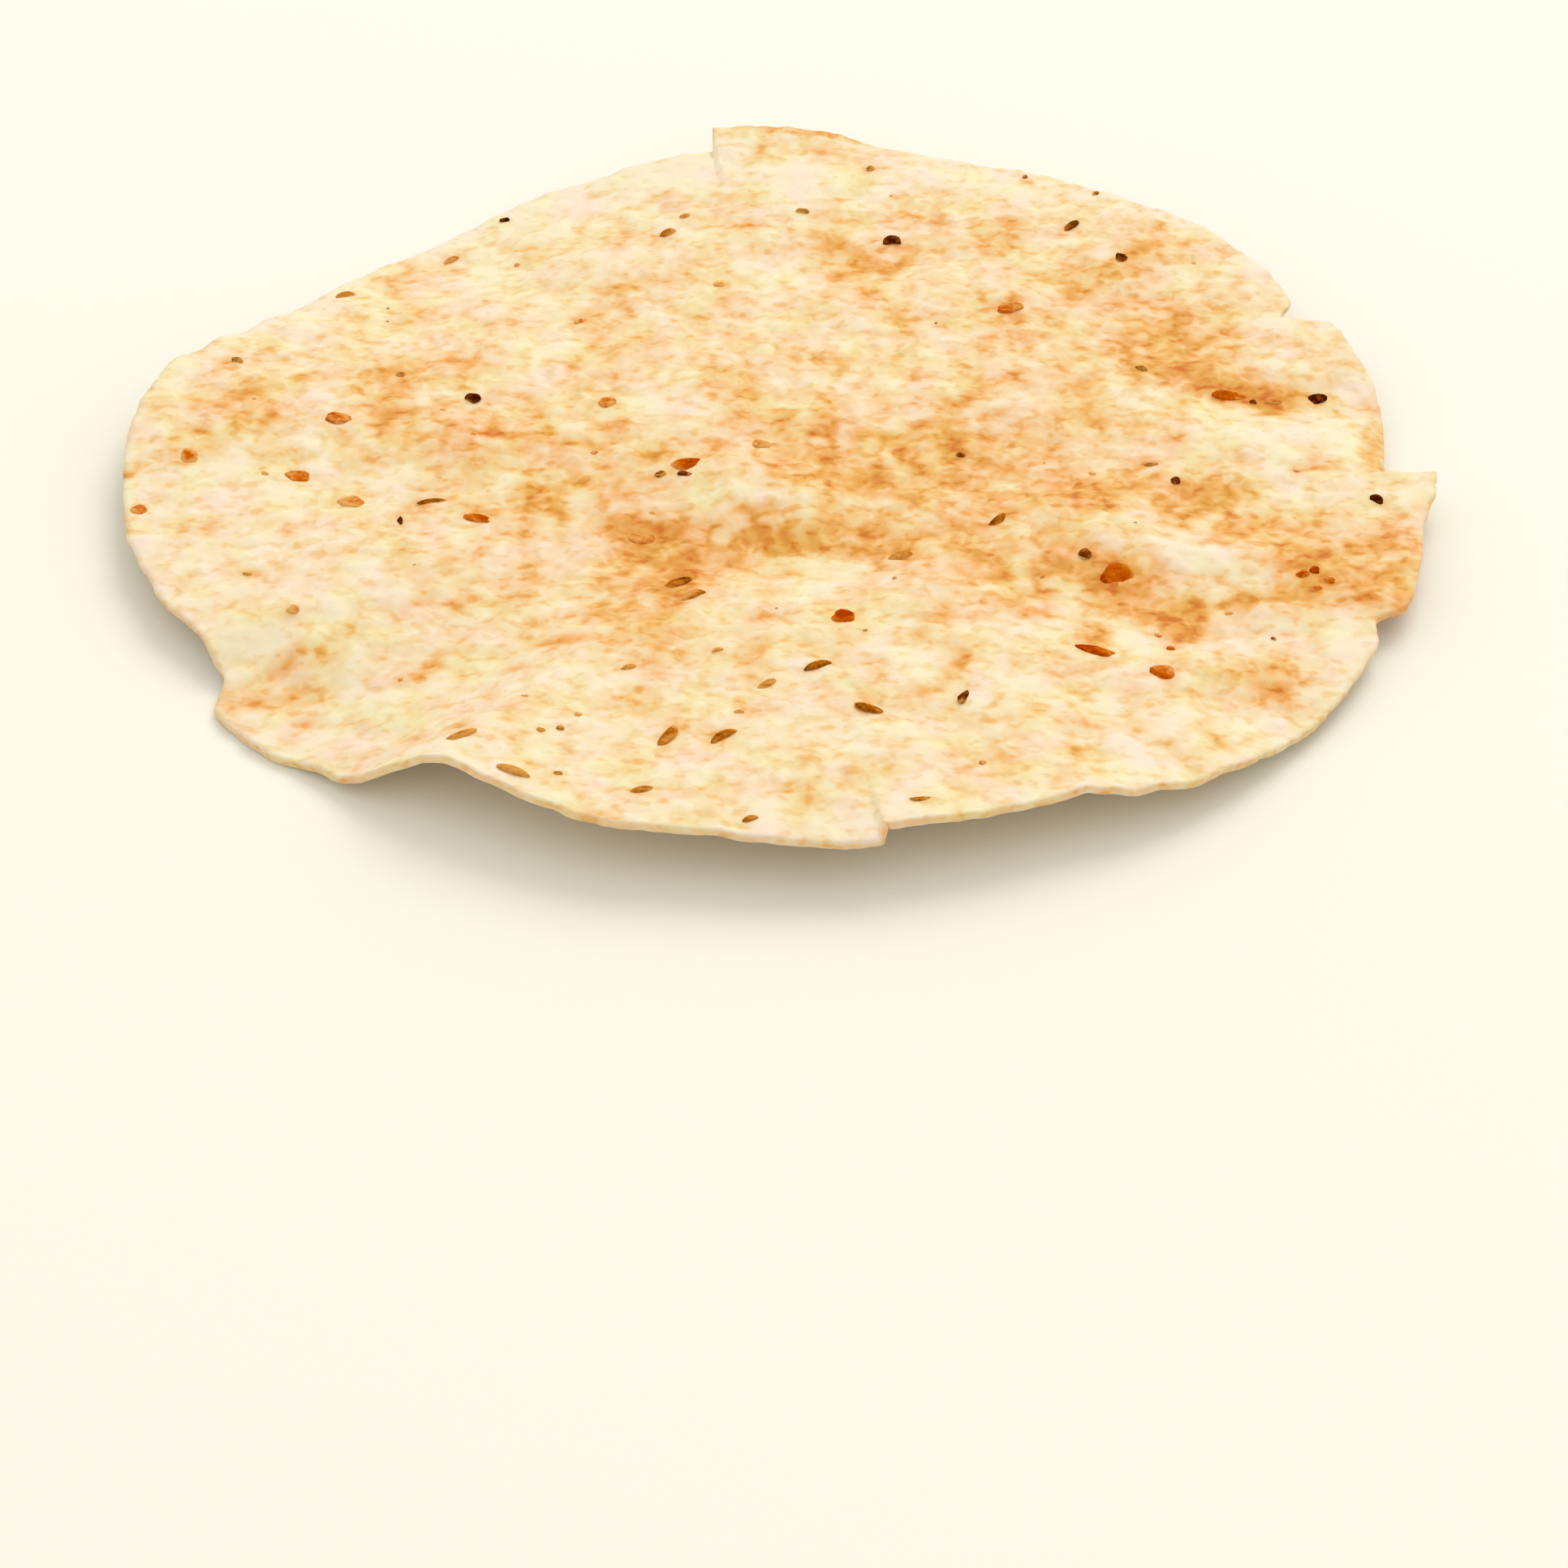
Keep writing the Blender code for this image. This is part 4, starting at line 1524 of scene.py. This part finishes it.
@dataclass
class Studio:
    """A plain pale table top, soft light from behind and above, and the camera."""

    floor_size: float = 6.0
    floor_colour: str = "#F3F2EB"
    floor_roughness: float = 0.9
    floor_specular: float = 0.1
    sky_colour: str = "#FFFCF4"
    sky_strength: float = 0.86
    key_strength: float = 38.0
    key_size: float = 1.9
    key_distance: float = 3.0
    key_azimuth: float = 155.0
    key_elevation: float = 45.0
    key_colour: str = "#FFFAF0"
    camera_place: tuple[float, float, float] = (0.69 * MM, -457.13 * MM, 312.36 * MM)
    camera_tilt: float = 51.254
    lens: float = 89.78
    sensor: float = 36.0

    def build_floor(self) -> None:
        """Lays the table top, level with the part's lowest point."""
        half = self.floor_size / 2
        corners = np.array([(-half, -half, 0), (half, -half, 0), (half, half, 0), (-half, half, 0)])
        floor = mesh_object("table_top", corners, np.array([(0, 1, 2), (0, 2, 3)]))
        material, _, shader = new_material("matt_table_top")
        shader.inputs["Base Color"].default_value = (*linear(self.floor_colour), 1.0)
        shader.inputs["Roughness"].default_value = self.floor_roughness
        shader.inputs["Specular IOR Level"].default_value = self.floor_specular
        floor.data.materials.append(material)

    def build_light(self) -> None:
        """Sets an even pale sky and one large soft lamp."""
        scene = bpy.context.scene
        scene.world = bpy.data.worlds.new("pale_sky")
        scene.world.use_nodes = True
        sky = scene.world.node_tree.nodes["Background"]
        sky.inputs["Color"].default_value = (*linear(self.sky_colour), 1.0)
        sky.inputs["Strength"].default_value = self.sky_strength
        lamp = bpy.data.lights.new("soft_key", "AREA")
        lamp.shape = "DISK"
        lamp.size = self.key_size
        lamp.energy = self.key_strength
        lamp.color = linear(self.key_colour)
        key = bpy.data.objects.new("soft_key", lamp)
        azimuth, elevation = math.radians(self.key_azimuth), math.radians(self.key_elevation)
        key.location = (
            self.key_distance * math.cos(elevation) * math.sin(azimuth),
            -self.key_distance * math.cos(elevation) * math.cos(azimuth),
            self.key_distance * math.sin(elevation),
        )
        key.rotation_euler = (math.pi / 2 - elevation, 0.0, azimuth)
        scene.collection.objects.link(key)
        scene.view_settings.view_transform = "Standard"

    def build_camera(self) -> None:
        """Sets the camera in front of the part, looking down on it."""
        lens = bpy.data.cameras.new("camera")
        lens.lens = self.lens
        lens.sensor_width = self.sensor
        lens.sensor_fit = "HORIZONTAL"
        camera = bpy.data.objects.new("camera", lens)
        camera.location = self.camera_place
        camera.rotation_euler = (math.radians(self.camera_tilt), 0.0, 0.0)
        bpy.context.scene.collection.objects.link(camera)
        bpy.context.scene.camera = camera

    def build(self) -> None:
        """Builds the floor, the light and the camera."""
        self.build_floor()
        self.build_light()
        self.build_camera()


# ---------------------------------------------------------------------------------------------
# All together
# ---------------------------------------------------------------------------------------------


def seasonings() -> list[Seasoning]:
    """The three kinds of seasoning, with their sizes and finishes.

    Returns:
        One entry for each kind.
    """
    return [
        Seasoning(
            Spice.PEPPER,
            PEPPER_BITS,
            DriedSpice("cracked_black_pepper", "#3E1402", "#8A420A", "#D09A4C"),
            height=1.5 * MM,
            sunk=0.5,
            crumbs=10,
            seed=51,
        ),
        Seasoning(
            Spice.CUMIN,
            CUMIN_SEEDS,
            DriedSpice("fried_cumin_seed", "#6E3602", "#BC6C10", "#DC9E50"),
            height=1.3 * MM,
            sunk=0.5,
            crumbs=0,
            seed=52,
        ),
        Seasoning(
            Spice.HUSK,
            HUSK_FLAKES,
            DriedSpice("dried_chilli_husk", "#A43800", "#CA6406", "#E2A65C"),
            height=0.9 * MM,
            sunk=0.68,
            crumbs=22,
            seed=53,
        ),
    ]


def main() -> None:
    """Builds the sheet, its seasoning and the studio, in that order."""
    logging.basicConfig(level=logging.INFO, format="%(name)s: %(message)s")
    sheet = Sheet()
    piece = sheet.build()
    sheet.dress(piece)
    LOG.info("%s: %d triangles", piece.name, len(piece.data.polygons))
    for seasoning in seasonings():
        bits = seasoning.build(sheet)
        seasoning.dress(bits)
        LOG.info("%s: %d bits", bits.name, len(seasoning.rows))
    Studio().build()


if __name__ == "__main__":
    main()
